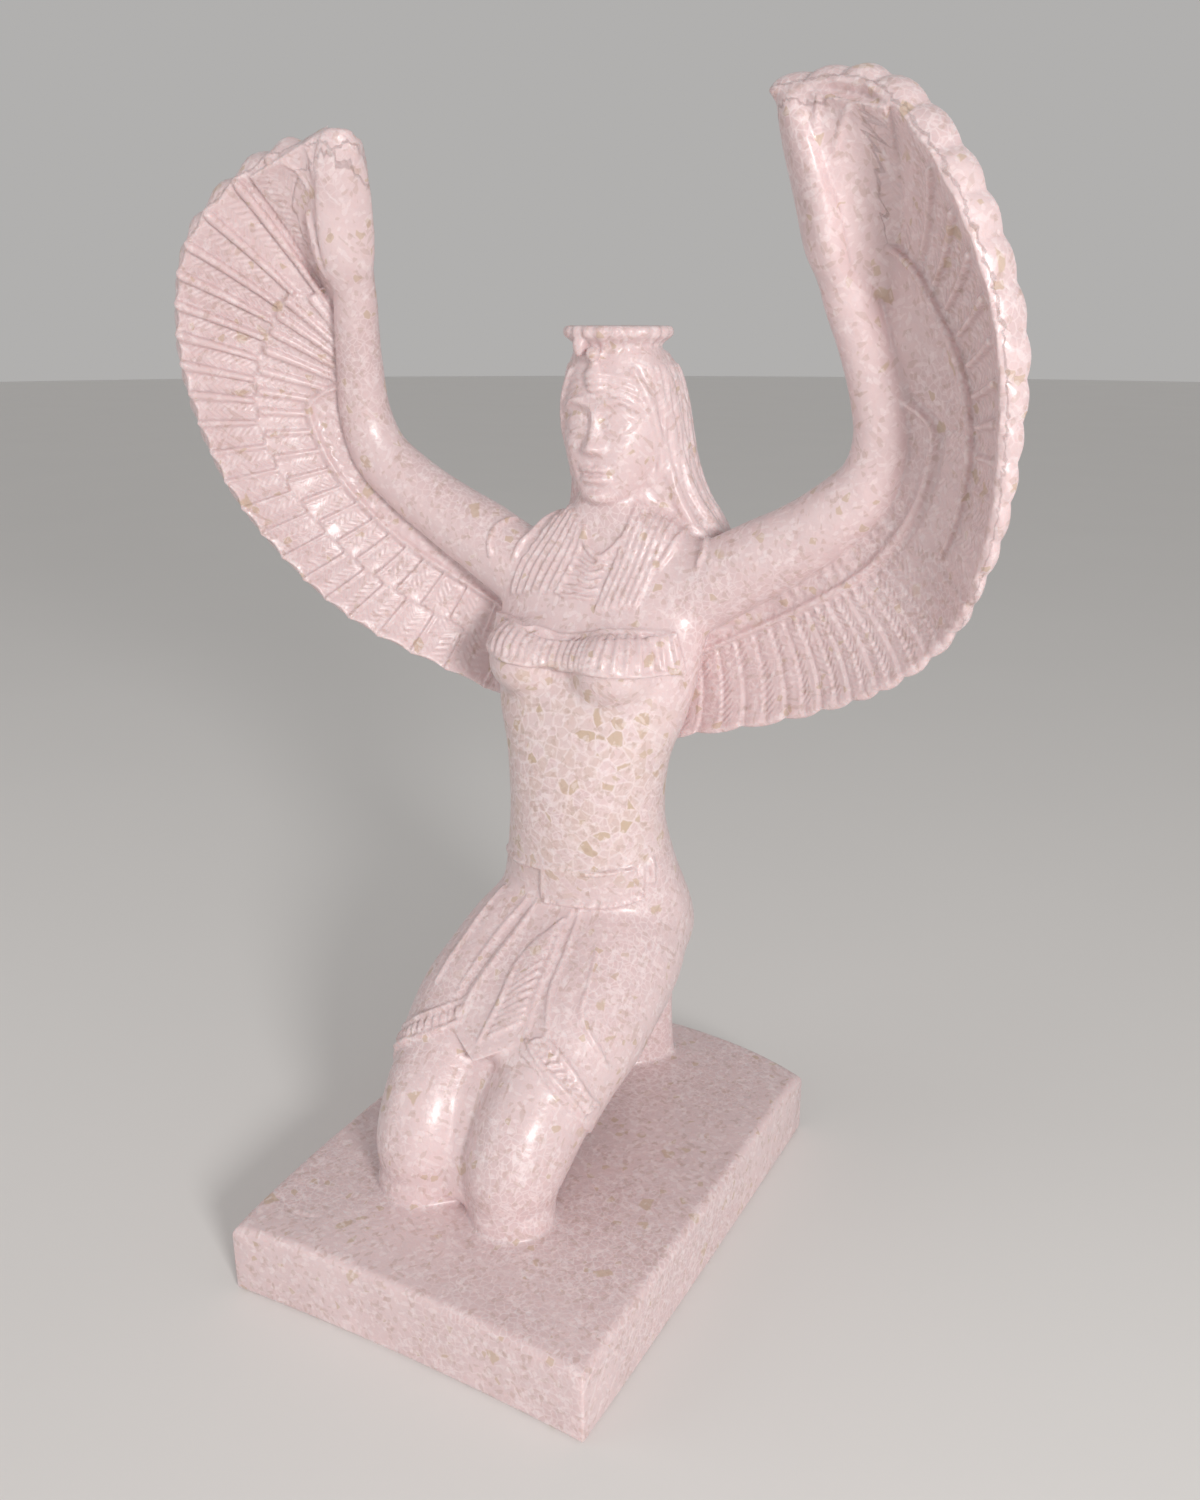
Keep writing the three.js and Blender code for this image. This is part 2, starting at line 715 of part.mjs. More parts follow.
// Where the first row of feathers ends: nearer the arm in the upper fan.
function rowEnd(s) {
  return THREE.MathUtils.lerp(WING.rowEnd, WING.rowEndAbove, THREE.MathUtils.smoothstep(s, 0.5, 0.8));
}

// Wing surfaces as a function of the place along the wing and the place along a feather.
function wingShape(side, form) {
  const root = new THREE.CatmullRomCurve3(WING_ROOT.map(vector));
  const rim = new THREE.CatmullRomCurve3(WING_RIM.map(vector));
  const plain = (s, t) => {
    const a = root.getPoint(s);
    const b = rim.getPoint(s);
    return a.lerp(b, t);
  };
  const back = (s) => {
    const step = 0.02;
    const low = Math.max(s - step, 0);
    const high = Math.min(s + step, 1);
    const along = plain(high, 0.7).sub(plain(low, 0.7));
    const out = plain(s, 1).sub(plain(s, 0));
    const normal = new THREE.Vector3().crossVectors(out, along).normalize();
    return normal.y < 0 ? normal.negate() : normal;
  };
  const turned = (p) => {
    const share = THREE.MathUtils.smoothstep(p.z, 240, 330);
    return new THREE.Vector3(side * p.x, p.y, p.z + form.lift * share);
  };
  const setBack = (s, t) => between(form.setBack, 's', s, 'mm') * t ** 1.5;
  const front = (s, t) => {
    const place = s * FEATHERS;
    const share = place - Math.floor(place + 1e-9);
    const mid = Math.sin(Math.PI * share);
    const reach = t * (1 - form.scallop * mid * t);
    const edge = THREE.MathUtils.smoothstep(t, WING.covertEnd - 0.02, WING.covertEnd + 0.04);
    const quill = WING.ridge * Math.max(0, 1 - mid / 0.5) * edge;
    const row = t > rowEnd(s) ? -WING.rowStep : 0;
    const lip = WING.covertLip * Math.exp(-(((t - WING.covertEnd) / 0.03) ** 2));
    const up = quill + lip + row * edge;
    const sag = WING.sag * 4 * t * (1 - t) + setBack(s, t);
    return turned(plain(s, reach).addScaledVector(back(s), sag - up));
  };
  const rear = (s, t) => {
    const place = s * FEATHERS;
    const share = place - Math.floor(place + 1e-9);
    const mid = Math.sin(Math.PI * share);
    const end = between(form.rearReach, 's', s, 'share');
    const reach = t * end * (1 + form.scallop * mid * t);
    const sag = WING.sag * 4 * t * (1 - t);
    const thick = between(WING_THICK, 's', s, 'mm') * (0.55 + 0.45 * t);
    const depth = Math.max(thick, setBack(s, t) + WING.thinnest) + WING.bulge * mid * t;
    return turned(plain(s, reach).addScaledVector(back(s), sag + depth));
  };
  return { front, rear };
}

function wing(side, form) {
  const { front, rear } = wingShape(side, form);
  const frontRows = (s) => [0, 0.31, 0.35, rowEnd(s), rowEnd(s) + 0.02, 1];
  const rearRows = [1, 0.5, 0];
  const shares = [0, 0.25, 0.75];
  const rings = [];
  for (let f = 0; f < FEATHERS; f += 1) {
    for (const share of shares) {
      const s = (f + share) / FEATHERS;
      rings.push([
        ...frontRows(s).map((t) => front(s, t)),
        ...rearRows.map((t) => rear(s, t)),
      ]);
    }
  }
  rings.push([...frontRows(1).map((t) => front(1, t)), ...rearRows.map((t) => rear(1, t))]);
  return skin(rings);
}

function figure() {
  const parts = [plinth(), torso(), head(), wig(), crown(), browGear()];
  parts.push(collar(), band(), sash(), apron());
  for (const side of [1, -1]) {
    parts.push(breast(side));
    parts.push(lappet(side));
    parts.push(thigh(side));
    parts.push(limb(SHIN, side, 5, 10));
    parts.push(foot(side));
    parts.push(tube(ARM, side, 10, 10));
    parts.push(tube(HAND, side, 4, 8));
    parts.push(wing(side, side > 0 ? LEFT_WING : RIGHT_WING));
  }
  return joined(parts);
}

function meshOf(name, shape, colour, roughness) {
  const { vertProperties, triVerts } = shape.getMesh();
  const geometry = new THREE.BufferGeometry();
  geometry.setAttribute('position', new THREE.BufferAttribute(vertProperties, 3));
  geometry.setIndex(new THREE.BufferAttribute(triVerts, 1));
  const material = new THREE.MeshStandardMaterial({ color: colour, roughness, metalness: 0 });
  const mesh = new THREE.Mesh(geometry, material);
  mesh.name = name;
  return mesh;
}

// The part stands on the middle of its own bounding box.
const statue = new THREE.Group();
const body = meshOf('statue', figure(), IVORY, 0.32);
const box = new THREE.Box3().setFromObject(body);
body.position.x = -(box.min.x + box.max.x) / 2;
body.position.y = -(box.min.y + box.max.y) / 2;
statue.add(body);

export default statue;
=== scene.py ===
"""Kneeling winged goddess on a low plinth, cast in crushed shell and resin.

The carved stock is built in millimetres about the middle of the plinth, as the solid is.
Everything else, from the operators' sizes to the studio, is in metres.
"""

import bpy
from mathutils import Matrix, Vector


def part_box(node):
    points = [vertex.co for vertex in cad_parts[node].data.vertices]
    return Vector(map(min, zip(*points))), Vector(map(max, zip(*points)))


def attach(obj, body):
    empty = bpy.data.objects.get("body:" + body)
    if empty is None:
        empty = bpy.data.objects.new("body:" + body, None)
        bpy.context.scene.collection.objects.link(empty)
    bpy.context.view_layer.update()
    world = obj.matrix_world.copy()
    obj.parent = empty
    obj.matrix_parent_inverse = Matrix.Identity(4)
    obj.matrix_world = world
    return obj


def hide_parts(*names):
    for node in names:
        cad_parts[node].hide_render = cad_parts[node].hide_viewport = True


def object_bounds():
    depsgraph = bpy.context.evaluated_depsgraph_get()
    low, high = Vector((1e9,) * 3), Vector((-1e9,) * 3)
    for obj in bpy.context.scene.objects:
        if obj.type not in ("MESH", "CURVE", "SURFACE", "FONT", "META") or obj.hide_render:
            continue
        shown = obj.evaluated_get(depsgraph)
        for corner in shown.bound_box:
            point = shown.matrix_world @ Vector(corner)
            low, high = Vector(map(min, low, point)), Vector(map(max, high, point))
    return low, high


bl_info = {
    "name": "Shell resin statue",
    "version": (1, 0, 0),
    "blender": (4, 5, 0),
    "location": "3D view > Sidebar > Statue",
    "description": "Builds a kneeling winged goddess cast in crushed shell and resin",
    "category": "Object",
}

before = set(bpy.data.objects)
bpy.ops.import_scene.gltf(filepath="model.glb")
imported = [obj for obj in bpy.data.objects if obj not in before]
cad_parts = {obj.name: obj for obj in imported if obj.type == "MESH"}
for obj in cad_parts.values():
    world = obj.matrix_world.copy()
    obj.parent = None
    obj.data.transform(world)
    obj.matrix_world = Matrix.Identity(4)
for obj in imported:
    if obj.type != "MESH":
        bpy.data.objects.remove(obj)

import math

import bmesh
import bpy
import numpy as np
from bpy.props import FloatProperty, FloatVectorProperty, IntProperty, PointerProperty
from bpy.types import Operator, Panel, PropertyGroup
from mathutils import Vector
from mathutils.bvhtree import BVHTree

MM = 0.001
NODE = "statue"
PIECE = "statue_cast"
CAD_BOX = [list(corner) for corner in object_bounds()]
# Where the lowest corner of the solid's box is, in millimetres about the middle of the plinth.
CAD_LOW = (-126.952, -78.3)

# Plinth: a slab with bowed sides and a top that falls away at the corners.
PLINTH_HALF_WIDTH = 58.9
PLINTH_HALF_DEPTH = 78.3
PLINTH_BOW = {"front": -1.8, "left": 0.6, "back": 8.8, "right": 2.8}
PLINTH_CROWN = 23.4
PLINTH_CORNER_DROP = 2.2
PLINTH_EDGE_ROUND = 2.6
PLINTH_FOOT_ROUND = 0.9
# Rings that close the top, as shares of its outline.
PLINTH_TOP_RINGS = (0.95, 0.85, 0.7, 0.5, 0.25)

# Body rows, from the bottom up: height, centre, half width, and depth in front and behind.
TORSO = [
    (64, 40, 15, 14, 9),
    (72, 39, 24.5, 23, 19.5),
    (84, 38, 31.5, 27, 28),
    (98, 35, 31.5, 22.5, 26),
    (112, 32, 28, 21, 22),
    (128, 30, 25.3, 21, 20),
    (146, 30.5, 26.4, 20.5, 21),
    (160, 33, 31, 19.5, 22),
    (178, 37, 34, 17.5, 21),
    (194, 41.5, 35, 13.5, 18.5),
    (205, 44.5, 34, 10, 15),
    (213, 46, 25, 9, 12),
    (219, 47, 13, 9.5, 11),
    (230, 49, 11, 10, 10),
]
HEAD = [
    (219.5, 44, 4, 5, 6),
    (221.5, 44.5, 7.5, 8.5, 8),
    (227, 46, 11.8, 11.2, 10),
    (234, 47.5, 14.6, 13.2, 12),
    (243, 48.5, 15.9, 14.0, 14),
    (252, 49.2, 16, 14.2, 15),
    (259, 49.5, 15.2, 13.6, 14),
    (265, 49.5, 13, 12, 12),
]
# Wig rows have the place across as well, because the hair falls further out on her left.
WIG = [
    (176, 0, 55, 20, 8, 10),
    (181, 0, 56, 24, 9, 12),
    (196, 1, 60, 28.5, 12, 12.5),
    (206, 3, 62, 28.5, 14, 13),
    (213, 3.5, 62, 25.5, 14, 13.5),
    (221, 2.5, 60, 21.5, 14, 14),
    (230, 1.6, 58, 19, 13.5, 14.5),
    (240, 1.2, 56, 17.8, 13, 15.5),
    (250, 1, 54, 17, 13, 15),
    (258, 0.8, 52, 15.8, 13.5, 14),
    (264, 0.5, 50, 13, 12, 12),
]
# How square the wig is, its strands, and the degrees to each side of the face without them.
WIG_SQUARE = 2.7
WIG_STRANDS = 38
WIG_PARTING = 46
BREAST_APART = 14
BREAST_SHIFT = -1.6
BREAST_MIDDLE = (28, 174.5)
BREAST_RADII = (14.5, 17.5, 12.5)

# Crown: a low cup with flutes, its height above the foot, and its radius there.
CROWN_MIDDLE = 49.5
CROWN_FOOT = 261
CROWN_ROWS = [(0, 12.7), (1.2, 12.9), (4.6, 13.1), (5.9, 14.5), (6.9, 15.9), (8.8, 16.2), (9.8, 15.3)]
CROWN_FLUTES = 22
CROWN_GROOVE = 1.0
# Knob by the rim of the crown, and hood and head of the cobra: middle and radii.
KNOB = ((-5.5, 36, 265.5), (2, 1.8, 3.2))
COBRA_HOOD = ((0, 35.2, 257), (2.7, 1.9, 5))
COBRA_HEAD = ((0, 34, 263.2), (2.1, 2.2, 2.1))

# Ways that the rings of a limb keep to.
ACROSS = (1, 0, 0)
BACKWARDS = (0, 1, 0)
# Limb stations of her left side: place, radius along the fixed way and radius square to it.
THIGH = [
    ((13, 44, 89), 16, 19),
    ((15, 26, 83), 19.5, 21),
    ((17, 4, 70), 19.5, 19.5),
    ((17, -14, 57.5), 17, 17.6),
    ((16.5, -27, 46.5), 15.5, 17),
    ((16, -33.5, 36.5), 14.3, 15.5),
    ((16, -34.5, 27), 12, 12),
]
SHIN = [
    ((16, -33, 34), 12, 11),
    ((16, -20, 39), 11.5, 12),
    ((14.5, 4, 49), 10.5, 12),
    ((13, 28, 61), 9.5, 11),
    ((12, 48, 71), 9, 10),
    ((11.5, 57, 75), 8, 6),
]
ARM = [
    ((28, 46, 195), 12.5, 12.5),
    ((44, 46, 204.5), 12, 12),
    ((60, 44.5, 213.5), 10.6, 10.6),
    ((72, 42, 222), 9.8, 9.8),
    ((81.5, 40, 231), 9.2, 9.2),
    ((85, 37.5, 243), 8.2, 8.2),
    ((82.5, 32.5, 260), 7.2, 7.2),
    ((77.5, 26, 277), 6.6, 6.6),
    ((74, 22, 288), 6.2, 6.2),
]
# Hand: a flat blade that stands square to the wing, wider along its own direction.
HAND = [
    ((75.5, 22.5, 281), 5.5, 4.2),
    ((72.7, 18, 289), 7.8, 4.2),
    ((70.7, 14.8, 300), 8.4, 4),
    ((68, 11.2, 311), 7.6, 3.5),
    ((66, 9, 319), 5.6, 2.8),
    ((65.2, 8.6, 322.6), 3.4, 2),
]
BLADE = (0.6, -0.8, 0)
# Web between the hand and the feathers: the feather it ends on, its thickness, where it starts on
# that feather and how far it runs, and how much of the thickness it sags.
WEB_FEATHER = 0.86
WEB_DEEP = 5
WEB_START = 0.22
WEB_RUN = 0.77
WEB_SAG = 0.25
# Feet stand on their toes: height, heel, toe, outer side and inner side.
FOOT = [
    (20, 73, 50, 18.5, -4.2),
    (25, 72.5, 51, 17.6, -4.2),
    (40, 71.5, 52.5, 16.8, -4.2),
    (56, 71, 51, 17.5, -4.2),
    (74, 69, 49, 20, -2),
]
FOOT_SLANT = 0.45
KNEE_SHIFT = -5
# How far forward of the middle the lean of the legs starts, and where it is complete.
LEAN_BETWEEN = (-40, 20)
# The thighs run together between the knees, and each knee stands on a broad base.
CLEFT = [
    ((0, 4, 70), 8, 12),
    ((0, -14, 57.5), 8, 11.5),
    ((0, -26, 46), 7.5, 10.5),
    ((0, -32, 34), 7, 9.5),
    ((0, -34, 24), 8, 9),
]
KNEE_PAD = ((16, -36, 26), (13.5, 12.5, 9))

# Kilt on each thigh: where it starts, how far down it reaches inside and outside, and how
# proud its hem stands.
KILT_TOP = 0.15
KILT_INNER = 0.45
KILT_OUTER = 0.6
KILT_PROUD = 0.9

# Apron rows down the lap: depth, height and half width.
APRON = [(15, 102, 6.2), (0, 91.8, 8.4), (-13, 82.8, 10.5), (-24, 72.9, 12.5)]
APRON_POINT = 9
APRON_DEPTH = 15
# Softer panel under the apron: how much wider, how much lower, and its own point.
LAP_FILL = (8, 0.7, 8)

# Wings, as her left one: where each feather leaves the arm, and where it ends on the rim.
WING_ROOT = [
    (16, 43, 181),
    (42, 46, 200),
    (58, 45, 211),
    (71, 42.5, 220),
    (81, 40, 231),
    (85, 38, 242),
    (84, 35.5, 250),
    (82, 33, 257),
    (80, 30, 265),
    (76, 26, 276),
]
WING_RIM = [
    (16, 43, 148),
    (56, 36, 162),
    (82, 21, 179),
    (101, 13.5, 197),
    (113, 3.5, 220),
    (118.5, -4, 246),
    (120, -7, 271),
    (110, -8.5, 295),
    (86, 2, 316.5),
    (60.5, 8.3, 317.5),
]
# Feathers of a row, and the columns of the mesh on each.
FEATHERS = 26
FEATHER_COLUMNS = 22
# Shares of the way from the torso to the tip: where the fan opens, and where the hand begins.
FAN_OPENS = (0.42, 0.62)
HAND_BEGINS = 0.84
# Heights between which a wing's lift comes in.
LIFT_HEIGHTS = (240, 330)
WING_SAG = 6
WING_BULGE = 0.5
WING_THINNEST = 3.2
ROW_END = 0.65
ROW_END_ABOVE = 0.48

# How far the dress may stand off the body and how deep its panels go into it, in millimetres,
# and the way that faces the lap.
SKIN_REACH = 8
PANEL_DEEP = 2.5
LAP_WAY = (0, -0.45, 0.893)
# Geometry nodes for the raised lines, and the sides of each ridge.
RIDGE_TREE = "Raised lines"
RIDGE_SIDES = 8

# Material: its name, the middle of the belly and how far its larger flakes reach, in metres,
# how the thin flakes lie and are stretched, how far the edges of flakes bend, how the barbs
# slant, and how near to the plain wing, in millimetres, a point has to be to carry barbs.
RESIN = "crushed shell resin"
BELLY = (0.0, 0.008, 0.142)
BELLY_REACH = (0.022, 0.045)
DASH_TURNS = ((0.3, 0.2, 0.5), (1.1, 0.7, 2.1), (2.0, 1.5, 1.2))
DASH_STRETCH = (0.42, 1.7, 1.7)
FLAKE_TREE = "Shell flakes"
FLAKE_BEND = 0.0014
BARB_SLANT = 3.6
BARB_REACH = 2.4

# The wings differ: her left one reaches higher, and its front falls back towards the rim.
# Set back is in millimetres at the rim; rear reach is how far the rear goes, against the front.
# Relief is the share of the carving's depth; up to the split the feathers are half as wide.
# Row drop is how much nearer the arm the first row ends over the hand, and row step is how far
# it stands over the second row there, as a share of the feather step.
# Web edge is how near the hollow behind the hand comes to the front of the hand, and thumb
# is how far over that hollow the thumb lies, at its root and at its tip.
LEFT_WING = {
    "side": 1,
    "lift": 6,
    "scallop": 0.014,
    "set_back": [
        (0, 0),
        (0.1, 5),
        (0.2, 10.5),
        (0.3, 12),
        (0.36, 11),
        (0.42, 8),
        (0.5, 6),
        (0.58, 3.5),
        (0.66, 0),
        (0.75, -1.5),
        (1, -1.2),
    ],
    "rear_reach": [
        (0, 0.975),
        (0.33, 0.975),
        (0.42, 1.005),
        (0.58, 0.99),
        (0.68, 0.96),
        (0.82, 0.985),
        (1, 1),
    ],
    "relief": [(0, 0.75), (0.3, 0.6), (0.42, 0.3), (1, 0.2)],
    "split": 10 / 26,
    "row_drop": 0.08,
    "row_step": 0.3,
    "rim_bulge": 1.7,
    "web_edge": 0.7,
    "thumb": (0.12, 0.04),
}
RIGHT_WING = {
    "side": -1,
    "lift": 0,
    "scallop": 0.034,
    "set_back": [(0, 0), (1, 0)],
    "rear_reach": [(0, 0.95), (0.7, 0.96), (0.9, 0.985), (1, 0.99)],
    "relief": [(0, 1), (1, 1)],
    "split": 0,
    "row_drop": 0.3,
    "row_step": 1,
    "rim_bulge": 0.7,
    "web_edge": 0.92,
    "thumb": (0.06, 0.36),
}
# Thickness of the wing at the rim, from the torso round to the tip.
WING_THICK = [(0, 4), (0.3, 11.5), (0.5, 11), (0.75, 8), (1, 6.5)]

# Soft features of the face, in millimetres: how far each stands out, its place to each side and
# its reach there, its height and its reach up and down.
NOSE_PARTS = {
    "tip": (1.2, 0, 2.2, 237.2, 2.0),
    "wings": (1.2, 2.7, 1.3, 236.6, 1.5),
    "nostrils": (-0.6, 1.3, 0.6, 234.7, 0.5),
}
EYE_HOLLOWS = {
    "sockets": (-2.0, 6.6, 4.8, 244.0, 3.3),
    "inner corners": (-0.9, 3.0, 1.5, 244.5, 2.4),
}
CHEEKS = (1.1, 8.8, 4.4, 236.8, 5)
MOUTH_PARTS = {
    "corners": (-0.7, 5.6, 0.9, 229.4, 0.9),
    "groove over the lip": (-0.5, 0, 0.7, 232, 1.1),
    "hollow under the lip": (-1.0, 0, 3.4, 225.6, 1.0),
    "chin": (1.7, 0, 3.8, 222.6, 2),
}
# Eyeball: place to the side and height, half its width and half its height.
EYEBALL = (6.7, 243.5, 4.4, 2.3)
# Raised lines of the eye: how far each stands out, its middle to the side and half its width,
# how bluntly it ends, its height, how far it arches up, and its thickness.
EYE_LINES = {
    "upper lid": (1.05, 6.7, 5.0, 0.3, 243.5, 2.6, 0.6),
    "lower lid": (0.7, 6.7, 5.0, 0.3, 243.5, -2.3, 0.55),
    "brow": (1.25, 7.0, 6.6, 0.4, 248.1, 1.9, 0.95),
}
MOUTH_HALF = 5.3

# Guide lines of the dress, wig and kilt, each through a few places on the body.
LAPPETS = [
    ([(-12.9, 43.8, 219.2), (-25.4, 35.7, 201.2), (-27.7, 31.4, 192.2)],
     [(-4.8, 37, 213), (-6.8, 33, 202.1), (-9.5, 28.3, 194.5)]),
    ([(10.8, 42.2, 221.5), (8.3, 33.8, 206.7), (5.2, 25.5, 191.4)],
     [(19.6, 50.2, 217.2), (19.6, 37.7, 207.6), (16.7, 27.7, 193.3)]),
]
COLLAR_TOP = [(-6.4, 34.7, 205.1), (0, 34, 203.5), (4.5, 33.9, 203.8)]
COLLAR_BOTTOM = [(-9.8, 28.9, 195.2), (-3, 28, 194.2), (3.6, 28.4, 194.8)]
NECKLINE = [
    (-4.7, 37, 214.3),
    (-4.2, 36, 209.9),
    (1.5, 34.5, 205.2),
    (6, 35.8, 208.5),
    (11, 35.9, 216.2),
]
BAND_TOP = [
    (-33, 34, 185),
    (-20, 24, 186.5),
    (-12, 16, 185),
    (-3.8, 20, 183.5),
    (5.1, 18, 184.8),
    (12.7, 16, 186.4),
    (20.9, 22, 186.5),
    (30, 30, 186.1),
]
BAND_BOTTOM = [
    (-33.5, 34, 176),
    (-21.4, 12.2, 177.8),
    (-12, 10, 176.8),
    (-3, 18, 175.8),
    (5, 14, 176.4),
    (12, 10.2, 176.8),
    (24, 16.2, 176),
    (32, 31, 175),
]
SLEEVES = [
    [(22.9, 51.4, 213.3), (23.1, 39.4, 208.8), (20.6, 35.8, 203.5)],
    [(28.8, 52, 213.5), (33.9, 38.5, 210), (33.5, 35.5, 205)],
    [(-18, 48, 217), (-27, 38, 209), (-29, 35.5, 202)],
    [(-34, 47, 214), (-38, 38, 208), (-37, 36.5, 202)],
]
BELT_TOP = [(-24, 26, 110.5), (-14, 13, 111.5), (-3.5, 10, 112.9), (9.4, 11, 113.6), (22.3, 19.5, 115.1)]
BELT_BOTTOM = [(-5.4, 11.4, 101.2), (5.5, 11.5, 102.3), (16.3, 14.5, 103.1), (25.6, 20.1, 105.4)]
SASH_ENDS = [
    [(-5.3, 9.7, 112.6), (-6.4, 10.7, 102.1)],
    [(24, 21, 115.3), (25, 19.7, 107)],
    [(26.5, 24, 117.5), (27.5, 23, 109)],
]
SPINE = [(-0.9, 3.6, 94.3), (-4.1, -6.1, 88.4), (-4, -16.6, 79.7), (-5.5, -25.9, 69.8)]
APRON_SIDE = [(4.6, 11.4, 100.8), (4.7, 1.8, 92.2), (6.3, -12.9, 82.4), (8.4, -22.1, 75.3)]
KILT_LINES = [
    [(7.1, 11.9, 101.2), (8.9, 0.7, 92), (10.1, -10.4, 83.9), (14.6, -20.3, 75.8)],
    [(-8, 11.8, 100), (-10.2, 0.9, 92.4), (-13.6, -12.9, 82), (-15.4, -22.3, 74.5)],
    [(-11.9, 14.3, 99.4), (-16.5, -1, 90.8), (-19.3, -17, 78.4)],
    [(-22.9, 16.6, 100.5), (-26.5, -1.7, 89.6), (-28.3, -14.9, 79.3)],
    [(17.5, 5, 94), (20.1, -5.2, 86.5), (21.3, -11.9, 80.1), (28.1, -13.4, 70.1), (30, -12.3, 65)],
]
HEMS = [
    ([(8.8, -22.7, 74.5), (15.4, -26.7, 71.1), (24, -26.5, 63), (29.5, -24, 55)],
     [(13.8, -20.8, 75.9), (20.9, -22.3, 70.9), (29.0, -21.3, 60.6), (32, -17, 55)]),
    ([(-34, -26, 60), (-30.6, -29.1, 65.6), (-22.1, -26.9, 69.6), (-14.2, -22.9, 74.3)],
     [(-35, -21, 64), (-31.5, -24.4, 70), (-24, -22, 74), (-16, -17.5, 78.3)]),
]
FRONT_STRAND = [(10.5, 37.5, 259), (14.6, 40.5, 250), (16.6, 43, 241), (17, 45, 234), (15.4, 45.5, 228)]
STRAND_CURL = [(15.4, 45.5, 228), (13.6, 44, 226.4), (14.6, 42.5, 229.4), (16.4, 43, 230)]
WIG_FOLDS = [
    [(18.5, 48, 231), (21, 49, 222), (26, 51, 214), (32, 54, 209)],
    [(21.5, 52, 236), (24, 54, 224), (29, 57, 215), (34, 60, 209)],
]

# Smoothing: the pull that evens out and the one that keeps forms full, and the least softening
# of the plain body.
EVEN_PULL = 0.5
FULL_PULL = -0.35
LEAST_SOFT = 0.03
# Places where the parts of the body run into each other: centre, and reach in millimetres.
JOINTS = [
    ((0, 46, 214), 22),
    ((0, 30, 168), 30),
    ((0, 24, 92), 30),
    ((-2, 60, 78), 26),
    ((-4, -34, 28), 20),
    ((-5, -20, 62), 24),
]
SIDE_JOINTS = [
    ((34, 46, 202), 24),
    ((20, 36, 92), 26),
    ((14, 58, 72), 18),
    ((75, 24, 284), 9),
    ((12, -30, 34), 16),
]

# Where the knees and feet stand on the plinth: middle and reach; and the tip of her left hand.
BASE_SPOTS = [(11, -34, 20), (-21, -34, 20), (0, 62, 20)]
HAND_TIP = (66, 9, 318)

# Grooves cut into the finished casting: places, width and depth in millimetres.
# The first two lie between the fingers of each hand, the others in the plinth and the feet.
HAND_GROOVES = [
    ([(72, 10, 300), (71, 8, 307), (70, 6, 314)], 0.5, 0.5),
    ([(75, 12, 300), (74, 10, 307), (73, 8, 313)], 0.5, 0.5),
]
GROOVES = [
    ([(-55, -62, 23), (-46, -66, 23.4), (-38, -64, 23.4)], 0.5, 0.35),
    ([(-50, -58, 23.2), (-43, -63, 23.4)], 0.5, 0.3),
    ([(0, 70, 70), (0, 72, 50), (0, 73, 27)], 1.2, 1.2),
]
# How deep the waves of the polish are.
POLISH_DEPTH = 0.05
# Nicks knocked out of the wing rims: place, reach and depth.
NICKS = [
    ((-64, 30, 164), 1.8, 0.9),
    ((-79, 22, 174), 1.5, 0.8),
    ((-101, 12, 195), 1.6, 0.7),
    ((108, 6, 209), 1.5, 0.7),
    ((117, -6, 262), 1.6, 0.7),
]

# Camera: its place and its sensor in millimetres, and the nearest thing it shows in metres.
CAMERA_PLACE = (186.745, -302.695, 273.827)
SENSOR_HEIGHT = 24
NEAREST_VIEW = 0.01
# Lights in metres: what they face, and each light's place, width and colour.
LIGHT_TARGET = (0, 0, 0.17)
LIGHTS = {
    "key": ((0.75, -0.62, 0.42), 0.22, (1, 0.98, 0.96)),
    "fill": ((-0.7, -0.6, 0.45), 0.8, (1, 0.97, 0.96)),
}
SKY_COLOUR = (1, 0.985, 0.97, 1)
FLOOR_SIDES = 96


def smoothstep(x, low, high):
    t = np.clip((x - low) / (high - low), 0, 1)
    return t * t * (3 - 2 * t)


def hump(x, middle, width):
    """Soft bump of height 1 at the middle."""
    return np.exp(-(((x - middle) / width) ** 2))


def between(rows, column, at):
    """Smooth value of one column of a station table, which runs along its first column."""
    table = np.array(rows, float)
    key = table[:, 0]
    value = table[:, column]
    at = np.clip(np.asarray(at, float), key[0], key[-1])
    i = np.clip(np.searchsorted(key, at) - 1, 0, len(key) - 2)
    low = np.maximum(np.arange(len(key)) - 1, 0)
    high = np.minimum(np.arange(len(key)) + 1, len(key) - 1)
    slope = (value[high] - value[low]) / (key[high] - key[low])
    span = key[i + 1] - key[i]
    t = (at - key[i]) / span
    level = (2 * t**3 - 3 * t**2 + 1) * value[i] + (3 * t**2 - 2 * t**3) * value[i + 1]
    rise = (t**3 - 2 * t**2 + t) * span * slope[i]
    fall = (t**3 - t**2) * span * slope[i + 1]
    return level + rise + fall


def at_row(rows, at):
    """Smooth values of all the other columns of a station table."""
    return [between(rows, column, at) for column in range(1, len(rows[0]))]


def evenly(rows):
    """Station table whose rows stand at even shares from 0 to 1."""
    return [(i / (len(rows) - 1), *row) for i, row in enumerate(rows)]


